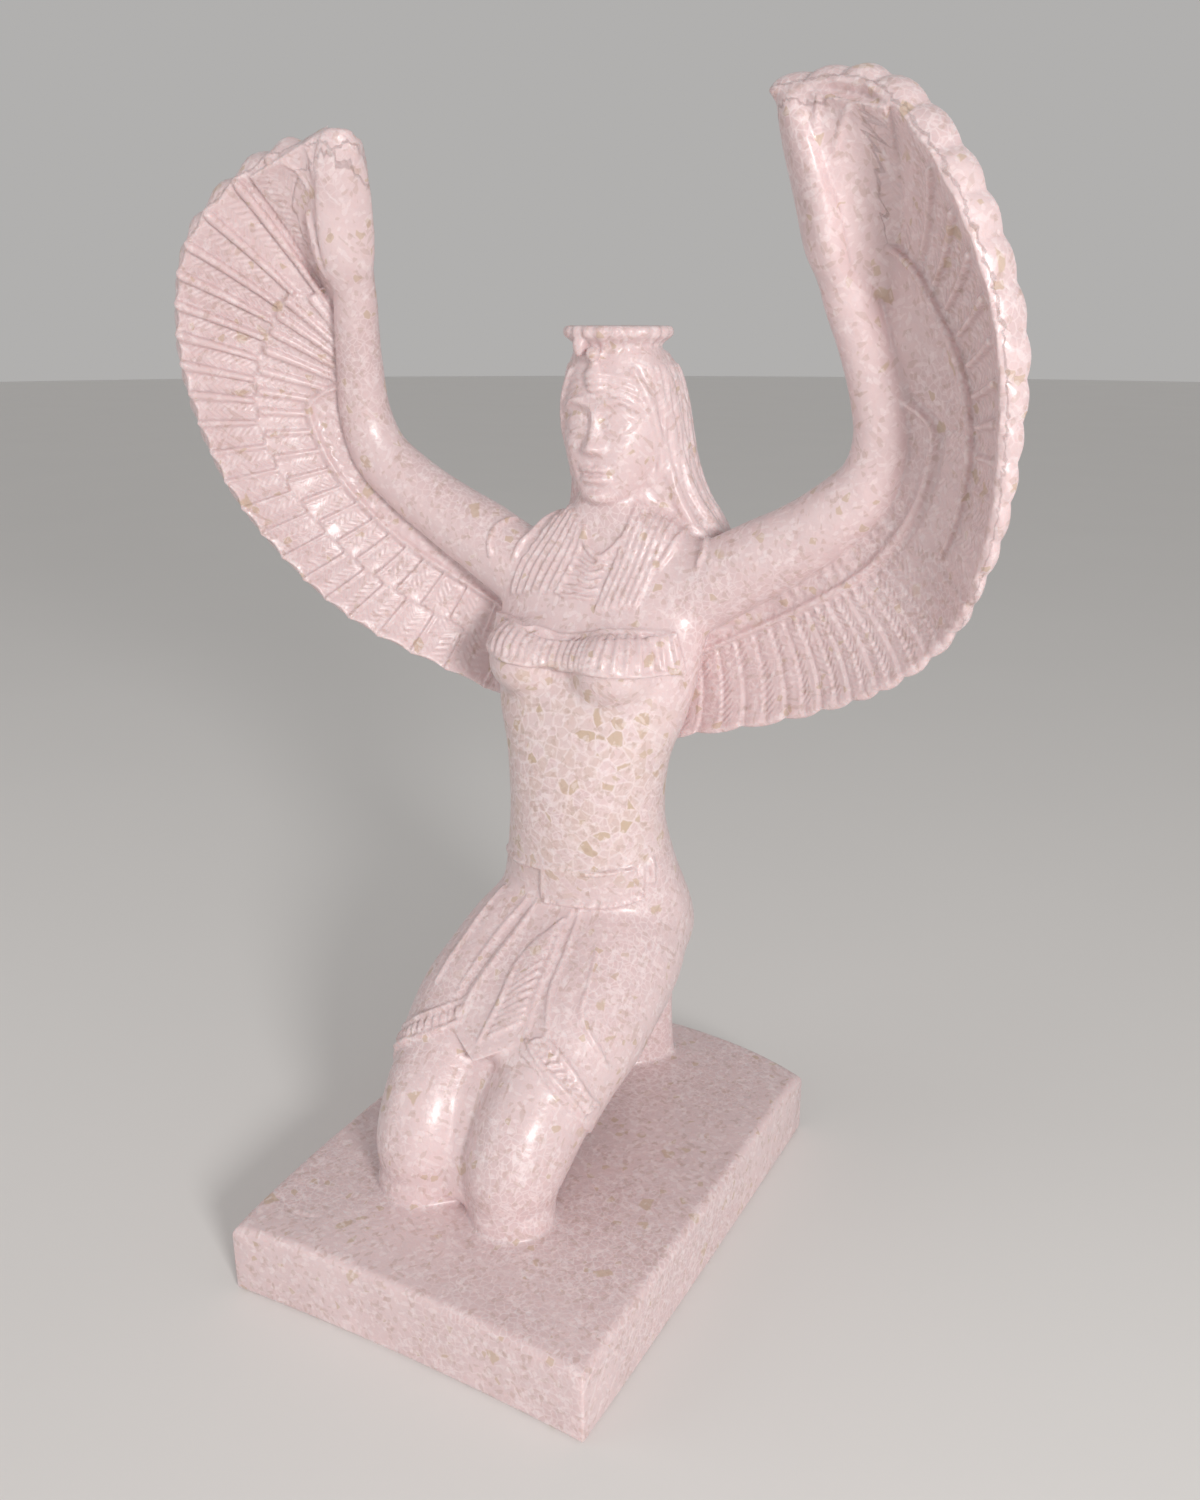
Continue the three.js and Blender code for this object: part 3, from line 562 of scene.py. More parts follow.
def spline(points, u):
    """Centripetal curve through the points; u runs from 0 to 1, evenly from point to point."""
    p = np.array(points, float)
    p = np.vstack([2 * p[0] - p[1], p, 2 * p[-1] - p[-2]])
    last = len(points) - 1
    f = np.clip(np.asarray(u, float), 0, 1) * last
    i = np.clip(np.floor(f).astype(int), 0, last - 1)
    w = (f - i)[..., None]
    p0, p1, p2, p3 = p[i], p[i + 1], p[i + 2], p[i + 3]

    def gap(a, b):
        return np.sqrt(np.linalg.norm(b - a, axis=-1))[..., None]

    d0, d1, d2 = gap(p0, p1), gap(p1, p2), gap(p2, p3)
    t1 = ((p1 - p0) / d0 - (p2 - p0) / (d0 + d1) + (p2 - p1) / d1) * d1
    t2 = ((p2 - p1) / d1 - (p3 - p1) / (d1 + d2) + (p3 - p2) / d2) * d1
    return p1 + t1 * w + (3 * (p2 - p1) - 2 * t1 - t2) * w**2 + (2 * (p1 - p2) + t1 + t2) * w**3


def loft(rings):
    """Closed skin through rings of equal length, with a fan at each end."""
    rings = np.asarray(rings, float)
    rows, count = rings.shape[:2]
    ends = np.stack([rings[0].mean(0), rings[-1].mean(0)])
    points = np.vstack([rings.reshape(-1, 3), ends])
    place = np.arange(rows * count).reshape(rows, count)
    a = place[:-1]
    b = np.roll(place, -1, axis=1)[:-1]
    c = np.roll(place, -1, axis=1)[1:]
    d = place[1:]
    faces = [np.stack([a, b, c], -1).reshape(-1, 3), np.stack([a, c, d], -1).reshape(-1, 3)]
    first = place[0]
    final = place[-1]
    low = np.full(count, rows * count)
    faces.append(np.stack([np.roll(first, -1), first, low], -1))
    faces.append(np.stack([final, np.roll(final, -1), low + 1], -1))
    faces = np.vstack(faces)
    corners = points[faces]
    volume = np.einsum("ij,ij->i", corners[:, 0], np.cross(corners[:, 1], corners[:, 2])).sum()
    return points, faces if volume > 0 else faces[:, ::-1]


def together(solids):
    """One point and face list of several closed skins."""
    points = []
    faces = []
    count = 0
    for spots, tris in solids:
        points.append(spots)
        faces.append(tris + count)
        count += len(spots)
    return np.vstack(points), np.vstack(faces)


def turns(count):
    return np.arange(count) / count * 2 * math.pi


def rings_of(x, y, z):
    """Array of points from the arrays of their coordinates."""
    return np.stack(np.broadcast_arrays(x, y, z), -1)


def tapered(radius, count, end, power=0.5):
    """Radii along a line that thins out to both of its ends."""
    return radius * np.sin(np.linspace(end, 1 - end, count) * math.pi) ** power


def ellipsoid(middle, radii):
    sides = 48
    up = (np.linspace(-1, 1, sides // 2 + 1)[1:-1] * math.pi / 2)[:, None]
    turn = turns(sides)
    x = middle[0] + radii[0] * np.cos(up) * np.sin(turn)
    y = middle[1] + radii[1] * np.cos(up) * np.cos(turn)
    return loft(rings_of(x, y, middle[2] + radii[2] * np.sin(up)))


def body_rings(rows, step, sides):
    """Upright rings through the rows, each with its own depth in front and behind."""
    z = np.arange(rows[0][0], rows[-1][0] + step / 2, step)[:, None]
    turn = turns(sides)
    y, half, front, back = at_row(rows, z)
    depth = np.where(np.cos(turn) > 0, front, back)
    return rings_of(half * np.sin(turn), y - depth * np.cos(turn), z), turn


def torso():
    rings, _ = body_rings(TORSO, 1.5, 96)
    return loft(rings)


def face_height(x, z):
    """Plain carved face: how far its features stand out of the oval, in millimetres."""
    across = np.abs(x)
    return nose(across, z) + eyes(across, z) + mouth(across, z)


def soft(across, z, size, aside, wide, height, tall):
    """Soft bump, or a hollow where the size is negative, on both sides of the face."""
    return size * hump(across, aside, wide) * hump(z, height, tall)


def nose(across, z):
    """Bridge that grows out as it comes down, with its tip, wings and nostrils."""
    down = np.clip((248 - z) / 12, 0, 1)
    ends = smoothstep(z, 233.4, 237) * (1 - smoothstep(z, 246, 251.5))
    out = (0.9 + 2.0 * down**1.3) * hump(across, 0, 1.7 + 0.9 * down) * ends
    for part in NOSE_PARTS.values():
        out += soft(across, z, *part)
    return out


def eyes(across, z):
    """Hollows, eyeballs, lids and brows cut as raised lines, and the cheeks under them."""
    out = np.zeros(np.broadcast(across, z).shape)
    for part in EYE_HOLLOWS.values():
        out += soft(across, z, *part)
    aside, height, half, tall = EYEBALL
    ball = 1 - ((across - aside) / half) ** 2 - ((z - height) / tall) ** 2
    out += 1.7 * np.sqrt(np.clip(ball, 0, 1))
    for size, aside, half, blunt, height, arch, thick in EYE_LINES.values():
        rise = 1 - ((across - aside) / half) ** 2
        out += size * np.clip(rise, 0, 1) ** blunt * hump(z, height + arch * rise, thick)
    return out + soft(across, z, *CHEEKS)


def mouth(across, z):
    """Lips with a line between them, and the soft parts round them."""
    wide = np.clip(1 - (across / MOUTH_HALF) ** 2, 0, 1)
    bow = 0.4 * hump(across, 1.5, 1.0)
    out = 1.8 * wide**0.7 * hump(z, 230.8 + bow, 1.0)
    out += 2.0 * wide**0.8 * hump(z, 228.0, 1.2)
    out -= 1.1 * wide**0.3 * hump(z, 229.4, 0.45)
    for part in MOUTH_PARTS.values():
        out += soft(across, z, *part)
    return out


def head():
    rings, turn = body_rings(HEAD, 0.3, 360)
    front = smoothstep(np.cos(turn), 0.05, 0.45)
    rings[..., 1] -= front * face_height(rings[..., 0], rings[..., 2])
    return loft(rings)


def squared(turn):
    """Radius of a squared circle at a turn."""
    power = WIG_SQUARE
    return (np.abs(np.sin(turn)) ** power + np.abs(np.cos(turn)) ** power) ** (-1 / power)


def wig_place(z, turn):
    """Point on the plain wig at a height and a turn round it."""
    x, y, half, front, back = at_row(WIG, z)
    reach = squared(turn)
    depth = np.where(np.cos(turn) > 0, front, back)
    return rings_of(x + half * reach * np.sin(turn), y - depth * reach * np.cos(turn), z)


def wig():
    z = np.arange(WIG[0][0], WIG[-1][0] + 0.5, 1.0)[:, None]
    return loft(wig_place(z, turns(160)))


def crown():
    z = np.linspace(0, CROWN_ROWS[-1][0], 40)[:, None]
    turn = turns(CROWN_FLUTES * 16)
    sharp = 1 - np.abs(np.sin(turn * CROWN_FLUTES / 2))
    reach = between(CROWN_ROWS, 1, z) - CROWN_GROOVE * smoothstep(z, 0.6, 2) * sharp
    return loft(rings_of(reach * np.sin(turn), CROWN_MIDDLE - reach * np.cos(turn), CROWN_FOOT + z))


def leg_shift(y):
    """The legs lean to her right as they come forward."""
    return KNEE_SHIFT * smoothstep(-y, *LEAN_BETWEEN)


def limb(stations, side, fixed, steps, sides, swell=None, extent=None, lean=True):
    """Limb along a path, with rings square to it that keep to one fixed direction.

    Swell is a function that adds to the radii along the limb, and extent is one that gives the
    part of the path that each line of the skin covers.
    """
    turn = turns(sides)
    low, high = extent(turn) if extent else (np.zeros(sides), np.ones(sides))
    u = low + (high - low) * np.linspace(0, 1, steps + 1)[:, None]
    path = [place for place, *_ in stations]
    middle = spline(path, u)
    ahead = spline(path, np.minimum(u + 1e-4, 1)) - spline(path, np.maximum(u - 1e-4, 0))
    ahead /= np.linalg.norm(ahead, axis=-1, keepdims=True)
    fixed = np.array(fixed, float)
    wide = fixed - ahead * (ahead @ fixed)[..., None]
    wide /= np.linalg.norm(wide, axis=-1, keepdims=True)
    tall = np.cross(ahead, wide)
    proud = swell(u) if swell else 0
    across, along = at_row(evenly([radii for _, *radii in stations]), u)
    across = (across + proud) * np.cos(turn)
    along = (along + proud) * np.sin(turn)
    rings = middle + wide * across[..., None] + tall * along[..., None]
    rings[..., 0] *= side
    if lean:
        rings[..., 0] += leg_shift(rings[..., 1])
    return loft(rings)


def hem_reach(turn):
    """How far along the thigh the kilt comes, all round it."""
    return KILT_INNER + (KILT_OUTER - KILT_INNER) * (1 + np.cos(turn)) / 2


def kilt(side):
    def extent(turn):
        return np.full(len(turn), KILT_TOP), hem_reach(turn)

    def swell(u):
        return KILT_PROUD * (1.6 * smoothstep(u, 0.2, 0.42) - 0.6)

    return limb(THIGH, side, ACROSS, 60, 96, swell, extent)


def foot(side):
    z = np.arange(FOOT[0][0], FOOT[-1][0], 1.0)[:, None]
    heel, toe, outer, inner = at_row(FOOT, z)
    half = (outer - inner) / 2
    depth = (heel - toe) / 2
    turn = turns(64)
    y = toe + depth - depth * np.cos(turn)
    forward = (heel - y) / (heel - toe)
    slant = 1 - FOOT_SLANT * forward
    return loft(rings_of(side * (inner + (half * np.sin(turn) + half) * slant), y, z))


def plinth_outline():
    """Rectangle with slightly bowed sides, and how far each point is from its middle."""
    u = np.arange(60) / 60
    corners = [
        (-1, -1, "front", (0, -1)),
        (1, -1, "left", (1, 0)),
        (1, 1, "back", (0, 1)),
        (-1, 1, "right", (-1, 0)),
    ]
    outline = []
    for i, (x, y, name, out) in enumerate(corners):
        start = np.array([x * PLINTH_HALF_WIDTH, y * PLINTH_HALF_DEPTH])
        next_x, next_y = corners[(i + 1) % 4][:2]
        end = np.array([next_x * PLINTH_HALF_WIDTH, next_y * PLINTH_HALF_DEPTH])
        swell = PLINTH_BOW[name] * 4 * u * (1 - u)
        outline.append(start + (end - start) * u[:, None] + swell[:, None] * np.array(out))
    flat = np.vstack(outline)
    return flat, np.abs(flat).max(axis=1, keepdims=True)


def plinth():
    """Slab with rounded edges, whose top falls a little at the corners."""
    flat, reach = plinth_outline()

    def spots(inset, scale=1.0):
        return flat * (1 - inset / reach) * scale

    def level(inset, z):
        return rings_of(*spots(inset).T, z)

    def crowned(inset, drop, scale=1.0):
        x, y = spots(inset, scale).T
        fall = (np.abs(x) / PLINTH_HALF_WIDTH) ** 5
        fall = fall * (np.abs(y) / PLINTH_HALF_DEPTH) ** 5
        return rings_of(x, y, PLINTH_CROWN - PLINTH_CORNER_DROP * np.minimum(fall, 1.1) - drop)

    rings = [level(PLINTH_FOOT_ROUND, 0.0), level(0, PLINTH_FOOT_ROUND)]
    for turn in np.linspace(0, math.pi / 2, 8):
        inset = PLINTH_EDGE_ROUND * (1 - math.cos(turn))
        rings.append(crowned(inset, PLINTH_EDGE_ROUND * (1 - math.sin(turn))))
    for scale in PLINTH_TOP_RINGS:
        rings.append(crowned(PLINTH_EDGE_ROUND, 0, scale))
    return loft(rings)


def row_end(form, s):
    """Where the first row of feathers ends: nearer the arm in the upper fan."""
    level = ROW_END + (ROW_END_ABOVE - ROW_END) * smoothstep(s, 0.5, 0.8)
    return level - form["row_drop"] * smoothstep(s, 0.78, 0.9)


def covert_end(s):
    """Where the scaled channel along the arm ends; it closes above the elbow."""
    return 0.33 - 0.21 * smoothstep(s, 0.56, 0.68)


def fan_share(s):
    """0 by the body, and 1 where the feathers spread out."""
    return smoothstep(s, *FAN_OPENS)


class WingShape:
    """The plain curved surface of one wing, which the feathers are carved on."""

    def __init__(self, form):
        self.form = form

    def plain(self, s, t):
        a = spline(WING_ROOT, s)
        b = spline(WING_RIM, s)
        return a + (b - a) * t[..., None]

    def back(self, s):
        low = np.maximum(s - 0.02, 0)
        high = np.minimum(s + 0.02, 1)
        most = np.full_like(s, 0.7)
        along = self.plain(high, most) - self.plain(low, most)
        out = spline(WING_RIM, s) - spline(WING_ROOT, s)
        normal = np.cross(out, along)
        normal /= np.linalg.norm(normal, axis=-1, keepdims=True)
        return np.where(normal[..., 1:2] < 0, -normal, normal)

    def turned(self, p):
        x, y, z = np.moveaxis(p, -1, 0)
        lift = self.form["lift"] * smoothstep(z, *LIFT_HEIGHTS)
        return rings_of(self.form["side"] * x, y, z + lift)

    def between_shafts(self, s):
        """0 at the shafts and 1 halfway between them."""
        place = s * FEATHERS
        return np.sin(math.pi * (place - np.floor(place + 1e-9)))

    def set_back(self, s, t):
        return between(self.form["set_back"], 1, s) * t**1.5

    def front(self, s, t, up):
        """Point on the front, raised by up millimetres."""
        reach = t * (1 - self.form["scallop"] * self.between_shafts(s) * t)
        sag = WING_SAG * 4 * t * (1 - t) + self.set_back(s, t)
        return self.turned(self.plain(s, reach) + self.back(s) * (sag - up)[..., None])

    def rear(self, s, t):
        middle = self.between_shafts(s)
        end = between(self.form["rear_reach"], 1, s)
        reach = t * end * (1 + self.form["scallop"] * middle * t)
        sag = WING_SAG * 4 * t * (1 - t)
        thick = between(WING_THICK, 1, s) * (0.55 + 0.45 * t)
        depth = np.maximum(thick, self.set_back(s, t) + WING_THINNEST) + WING_BULGE * middle * t
        return self.turned(self.plain(s, reach) + self.back(s) * (sag + depth)[..., None])


def feather_height(form, s, t, pitch, step):
    """Carving on the front of a wing: coverts by the arm, then two rows of feathers."""
    return feather_rows(form, s, t, pitch, step) + channel_edge(s, t) + channel_scales(s, t)


def feather_rows(form, s, t, pitch, step):
    """Overlapping feathers: the step between the rows, each one's slope, groove and hollow."""
    lip = covert_end(s)
    end = row_end(form, s)
    narrow = s < form["split"]
    place = np.where(narrow, 2 * s * FEATHERS, s * FEATHERS + np.where(t < end, 0.5, 0.0))
    pitch = np.where(narrow, pitch / 2, pitch)
    share = place - np.floor(place)
    fan = fan_share(s)
    layer = step * (1 - smoothstep(t, end, end + 0.012)) * (1 - smoothstep(s, HAND_BEGINS, 0.9))
    shingle = (1 - 0.7 * fan) * 0.9 * (share - 0.5)
    gap = np.minimum(share, 1 - share) * pitch
    groove = -(0.5 + 0.2 * fan) * hump(gap, 1.1 + 0.5 * fan, 0.55)
    hollow = -0.5 * fan * smoothstep(gap, 1.2, 2.6)
    layer = np.where(narrow, step * 0.6, layer * form["row_step"])
    relief = between(form["relief"], 1, s)
    on_row = smoothstep(t, lip, lip + 0.03)
    return on_row * (layer - step * 0.6 + relief * (shingle + groove + hollow))


def channel_edge(s, t):
    """Raised edge of the channel along the arm, with a groove beside it."""
    lip = covert_end(s)
    edge = 1.5 * hump(t, lip, 0.02) - 0.8 * hump(t, lip + 0.04, 0.018)
    return edge * (1 - 0.7 * smoothstep(s, 0.66, 0.72))


def channel_scales(s, t):
    """Small irregular scales in the channel, which end before the fan."""
    lip = covert_end(s)
    lumps = np.sin(s * 210 + 3 * np.sin(t * 40)) * np.sin(t * 95 + 2 * np.sin(s * 70))
    scales = 0.45 * lumps * smoothstep(t, 0.12, 0.2) * (1 - smoothstep(t, lip - 0.05, lip - 0.02))
    return scales * (1 - smoothstep(s, 0.56, 0.62))


def wing_carving(shape, step):
    """Closed wing with carved front, fluted rim and plain fluted back."""
    s = np.linspace(0, 1, FEATHERS * FEATHER_COLUMNS + 1)[:, None]
    t = np.concatenate([np.linspace(0, 0.1, 6), np.linspace(0.11, 1, 150)])[None, :]
    s_front, t_front = np.broadcast_arrays(s, t)
    bare = shape.front(s_front, t_front, np.zeros(s_front.shape))
    pitch = np.linalg.norm(np.gradient(bare, axis=0), axis=-1) * FEATHER_COLUMNS
    up = feather_height(shape.form, s_front, t_front, pitch, step)
    front = shape.front(s_front, t_front, up)
    rear = shape.rear(*np.broadcast_arrays(s, np.linspace(1, 0, 40)[None, :]))
    return loft(np.concatenate([front, wing_rim(shape, s, front, rear), rear], axis=1))


def wing_rim(shape, s, front, rear):
    """Strip from the rim of the front to that of the back, full at each feather."""
    share = np.linspace(0, 1, 14)[1:-1]
    start = front[:, -1:, :]
    end = rear[:, :1, :]
    rim = start + (end - start) * share[None, :, None]
    outward = front[:, -1] - front[:, -8]
    outward /= np.linalg.norm(outward, axis=-1, keepdims=True)
    full = shape.form["rim_bulge"]
    bulge = full * np.sin(math.pi * share)[None, :] * shape.between_shafts(s) ** 0.6
    return rim + outward[:, None, :] * bulge[..., None]


def quill_lines(shape):
    """Shafts of both rows of feathers, as lines with a radius at each point."""
    lines = []
    for s in np.arange(1, FEATHERS) / FEATHERS:
        start = row_end(shape.form, s) + 0.01 if s < HAND_BEGINS else 0.16
        lines.append(shaft(shape, s, start, 0.985))
    for s in (np.arange(FEATHERS) + 0.5) / FEATHERS:
        if s < HAND_BEGINS:
            lines.append(shaft(shape, s, covert_end(s) + 0.02, row_end(shape.form, s)))
    return lines


def worn_quill_lines(shape):
    """Her left wing: close ribs by the body, two arcs across the fan, and shafts over the hand."""
    lines = []
    split = shape.form["split"]
    for s in np.arange(2, int(2 * FEATHERS * split)) / (2 * FEATHERS):
        points, radius = shaft(shape, s, covert_end(s) + 0.03, 0.95)
        lines.append((points, radius * 0.9))
    for s in np.arange(int(FEATHERS * split), FEATHERS - 4) / FEATHERS:
        points, radius = shaft(shape, s, row_end(shape.form, s) + 0.05, 0.94, -0.55)
        lines.append((points, radius * 0.75))
    s = np.linspace(0.06, 0.7, 120)
    lines.append(arc(shape, s, covert_end(s), 1.15))
    s = np.linspace(0.4, 0.92, 120)
    lines.append(arc(shape, s, row_end(shape.form, s), 1.1))
    return lines


def arc(shape, s, reach, radius):
    """Raised line across the feathers, where one row ends."""
    return shape.front(s, reach, np.full_like(s, 0.6)), tapered(radius, len(s), 0.1)


def shaft(shape, s, start, end, level=None):
    """Line up the middle of a feather, a little over or under the surface by its level."""
    run = np.linspace(start, end, 40)
    fan = fan_share(s)
    if level is None:
        level = 0.45 if end < row_end(shape.form, s) + 0.005 else -0.35
    points = shape.front(np.full_like(run, s), run, np.full_like(run, level * (1 - fan) + 0.1 * fan))
    run = (run - start) / (end - start)
    radius = (0.72 + 0.8 * fan) * (0.6 + 0.4 * run) * (1 - 0.4 * smoothstep(run, 0.95, 1))
    return points, radius


def leading_edge(side, u, forward):
    """Line up the front of a hand, at a share of the blade's reach in front of its middle."""
    reach = between(evenly([radii for _, *radii in HAND]), 1, u)
    edge = spline([place for place, *_ in HAND], u) + np.array(BLADE) * (forward * reach)[:, None]
    edge[:, 0] *= side
    return edge


def web_surface(shape, u, share):
    """Point between the leading edge of a wing and the feathers behind the hand."""
    s = np.full_like(u, WEB_FEATHER)
    edge = leading_edge(shape.form["side"], u, shape.form["web_edge"])
    inside = shape.front(s, WEB_START + WEB_RUN * u, 0.9 * u**3 - 0.3)
    deep = shape.back(s) * WEB_DEEP
    deep[:, 0] *= shape.form["side"]
    hollow = WEB_SAG * np.sin(np.asarray(share) * math.pi) * (1 - u**3)[:, None]
    return edge + (inside - edge) * share + deep * hollow, deep


def web(shape):
    """Fills the hollow between the leading edge of a wing and the feathers behind the hand."""
    u = np.linspace(0, 1, 40)
    rows = [web_surface(shape, u, share) for share in np.linspace(0, 1, 16)]
    top = np.stack([points for points, _ in rows], 1)
    low = np.stack([points + deep for points, deep in rows], 1)
    return loft(np.concatenate([top, low[:, ::-1]], axis=1))


def web_lines(shape):
    """Shafts that spread over the web from the tip of the hand."""
    lines = []
    u = np.linspace(0.6, 0.97, 30)
    spread = (u - u[0]) / (u[-1] - u[0])
    for start, end in ((0.06, 0.0), (0.1, 0.3), (0.28, 0.62)):
        points, _ = web_surface(shape, u, (start + (end - start) * spread)[:, None])
        lines.append((points, tapered(0.85, 30, 0.15)))
    return lines


def thumb_line(shape):
    """Ridge of the thumb, which lies on the leading edge or on the hollow beside it."""
    u = np.linspace(0.06, 0.5, 40)
    points, _ = web_surface(shape, u, np.linspace(*shape.form["thumb"], 40)[:, None])
    return points, tapered(2.3, 40, 0.1, 0.6)


def apron(wider=0, sunk=0, tip=APRON_POINT):
    """Panel over the lap, whose lower edge runs down to a point."""
    u = np.linspace(0, 1, 40)[:, None]
    y, z, half = at_row(evenly(APRON), u)
    way = np.array([0, APRON[-1][0] - APRON[-2][0], APRON[-1][1] - APRON[-2][1]], float)
    way /= np.linalg.norm(way)
    out = np.array([0, way[2], -way[1]])
    v = np.linspace(-1, 1, 41)
    top = rings_of(v * (half + wider), y, z)
    top += way * (tip * u**3 * (1 - np.abs(v)))[..., None] - out * sunk
    floor = top[:, ::-1] - out * APRON_DEPTH
    rings = np.concatenate([top, floor], axis=1)
    rings[..., 0] += leg_shift(rings[..., 1])
    return loft(rings)


def added(name, data):
    """New object of the scene with this data."""
    made = bpy.data.objects.new(name, data)
    bpy.context.scene.collection.objects.link(made)
    return made


def new_mesh(name, points, faces):
    """Mesh object from points in millimetres."""
    mesh = bpy.data.meshes.new(name)
    mesh.vertices.add(len(points))
    mesh.vertices.foreach_set("co", (np.asarray(points) * MM).ravel())
    mesh.loops.add(faces.size)
    mesh.loops.foreach_set("vertex_index", np.ascontiguousarray(faces, dtype=np.int32).ravel())
    mesh.polygons.add(len(faces))
    mesh.polygons.foreach_set("loop_start", np.arange(0, faces.size, 3, dtype=np.int32))
    mesh.update(calc_edges=True)
    return added(name, mesh)


def places(mesh):
    """Where the points of a mesh are, in metres."""
    points = np.empty(len(mesh.vertices) * 3)
    mesh.vertices.foreach_get("co", points)
    return points.reshape(-1, 3)


def put(mesh, points):
    """Moves the points of a mesh to these places, in metres."""
    mesh.vertices.foreach_set("co", points.ravel())
    mesh.update()


def solid_arrays(made):
    """Points in millimetres and triangles of a mesh object."""
    mesh = made.data
    mesh.calc_loop_triangles()
    faces = np.empty(len(mesh.loop_triangles) * 3, dtype=np.int32)
    mesh.loop_triangles.foreach_get("vertices", faces)
    return places(mesh) / MM, faces.reshape(-1, 3)


def baked(made):
    """Puts the result of an object's modifiers in its mesh, and removes the modifiers."""
    ready = made.evaluated_get(bpy.context.evaluated_depsgraph_get())
    mesh = bpy.data.meshes.new_from_object(ready)
    old = made.data
    made.modifiers.clear()
    made.data = mesh
    bpy.data.meshes.remove(old)
    return made


def fused(made, voxel):
    """One skin round all the closed bodies of an object."""
    step = made.modifiers.new("fuse", "REMESH")
    step.mode = "VOXEL"
    step.voxel_size = voxel
    return baked(made)


def edge_pairs(mesh):
    """The two points of each edge."""
    pairs = np.empty(len(mesh.edges) * 2, dtype=np.int32)
    mesh.edges.foreach_get("vertices", pairs)
    return pairs.reshape(-1, 2)


def relaxed(made, rounds, mask=None):
    """Evens the surface out; the mask says how much at each point."""
    points = places(made.data)
    count = len(points)
    a, b = edge_pairs(made.data).T
    links = np.bincount(a, minlength=count) + np.bincount(b, minlength=count)
    share = np.ones(count) if mask is None else mask(points / MM)
    pulls = (EVEN_PULL, FULL_PULL) if mask is None else (EVEN_PULL,)
    for _ in range(rounds):
        for pull in pulls:
            total = np.empty_like(points)
            for k in range(3):
                total[:, k] = np.bincount(a, points[b, k], count) + np.bincount(b, points[a, k], count)
            mean = total / links[:, None]
            points = points + (mean - points) * (pull * share)[:, None]
    put(made.data, points)
    return made


def tree_of(points, faces):
    return BVHTree.FromPolygons(points.tolist(), faces.tolist())


class Surface:
    """Finds places on a body, in millimetres, on the top of whatever lies on it."""

    def __init__(self, body, layers=()):
        self.body = tree_of(*body)
        self.skin = tree_of(*together([body, *layers])) if layers else self.body

    def snapped(self, points, proud=0.0, way=None):
        """Each point's place on the skin: square to the body, or along the given way."""
        spots = []
        for point in points:
            place, out, _, _ = self.body.find_nearest(Vector(point))
            if way is not None:
                place, out = Vector(point), way(point)
            hit = self.skin.ray_cast(place + out * SKIN_REACH, -out, 2 * SKIN_REACH)[0]
            spots.append((hit or place) + out * proud)
        return np.array(spots)


def line(points, count=40):
    return spline(points, np.linspace(0, 1, count))


def fan_of_lines(first, last, count):
    """Lines spread evenly between two guide lines."""
    a = line(first)
    b = line(last)
    return [a + (b - a) * k for k in np.linspace(0, 1, count)]


def rungs(first, last, count, slant, start, end, reach):
    """Short lines from one guide line to the other."""
    share = np.linspace(0.5 - reach / 2, 0.5 + reach / 2, 12)[:, None]
    short = []
    for u in np.linspace(start, end, count):
        a = spline(first, u)
        b = spline(last, min(max(u + slant, 0), 1))
        short.append(a + (b - a) * share)
    return short


def bridged(top, rounds):
    """Lets a panel span the hollows it crosses, as stiff cloth does."""
    for _ in range(rounds):
        top[1:-1, :, 1] = np.minimum(top[1:-1, :, 1], (top[:-2, :, 1] + top[2:, :, 1]) / 2)
    return top


def patch(surface, first, last, proud, rows=12, count=60, stiff=0):
    """Raised panel between two guide lines that lies on the body."""
    a = line(first, count)
    b = line(last, count)
    share = np.linspace(0, 1, rows)[None, :, None]
    grid = a[:, None] + (b - a)[:, None] * share
    flat = grid.reshape(-1, 3)
    top = bridged(surface.snapped(flat, proud).reshape(grid.shape), stiff)
    low = surface.snapped(flat, -PANEL_DEEP).reshape(grid.shape)
    return loft(np.concatenate([top, low[:, ::-1]], axis=1))


def group_sockets(tree, inputs, outputs):
    for name, kind, value in inputs:
        socket = tree.interface.new_socket(name, in_out="INPUT", socket_type=kind)
        if value is not None:
            socket.default_value = value
    for name, kind in outputs:
        tree.interface.new_socket(name, in_out="OUTPUT", socket_type=kind)


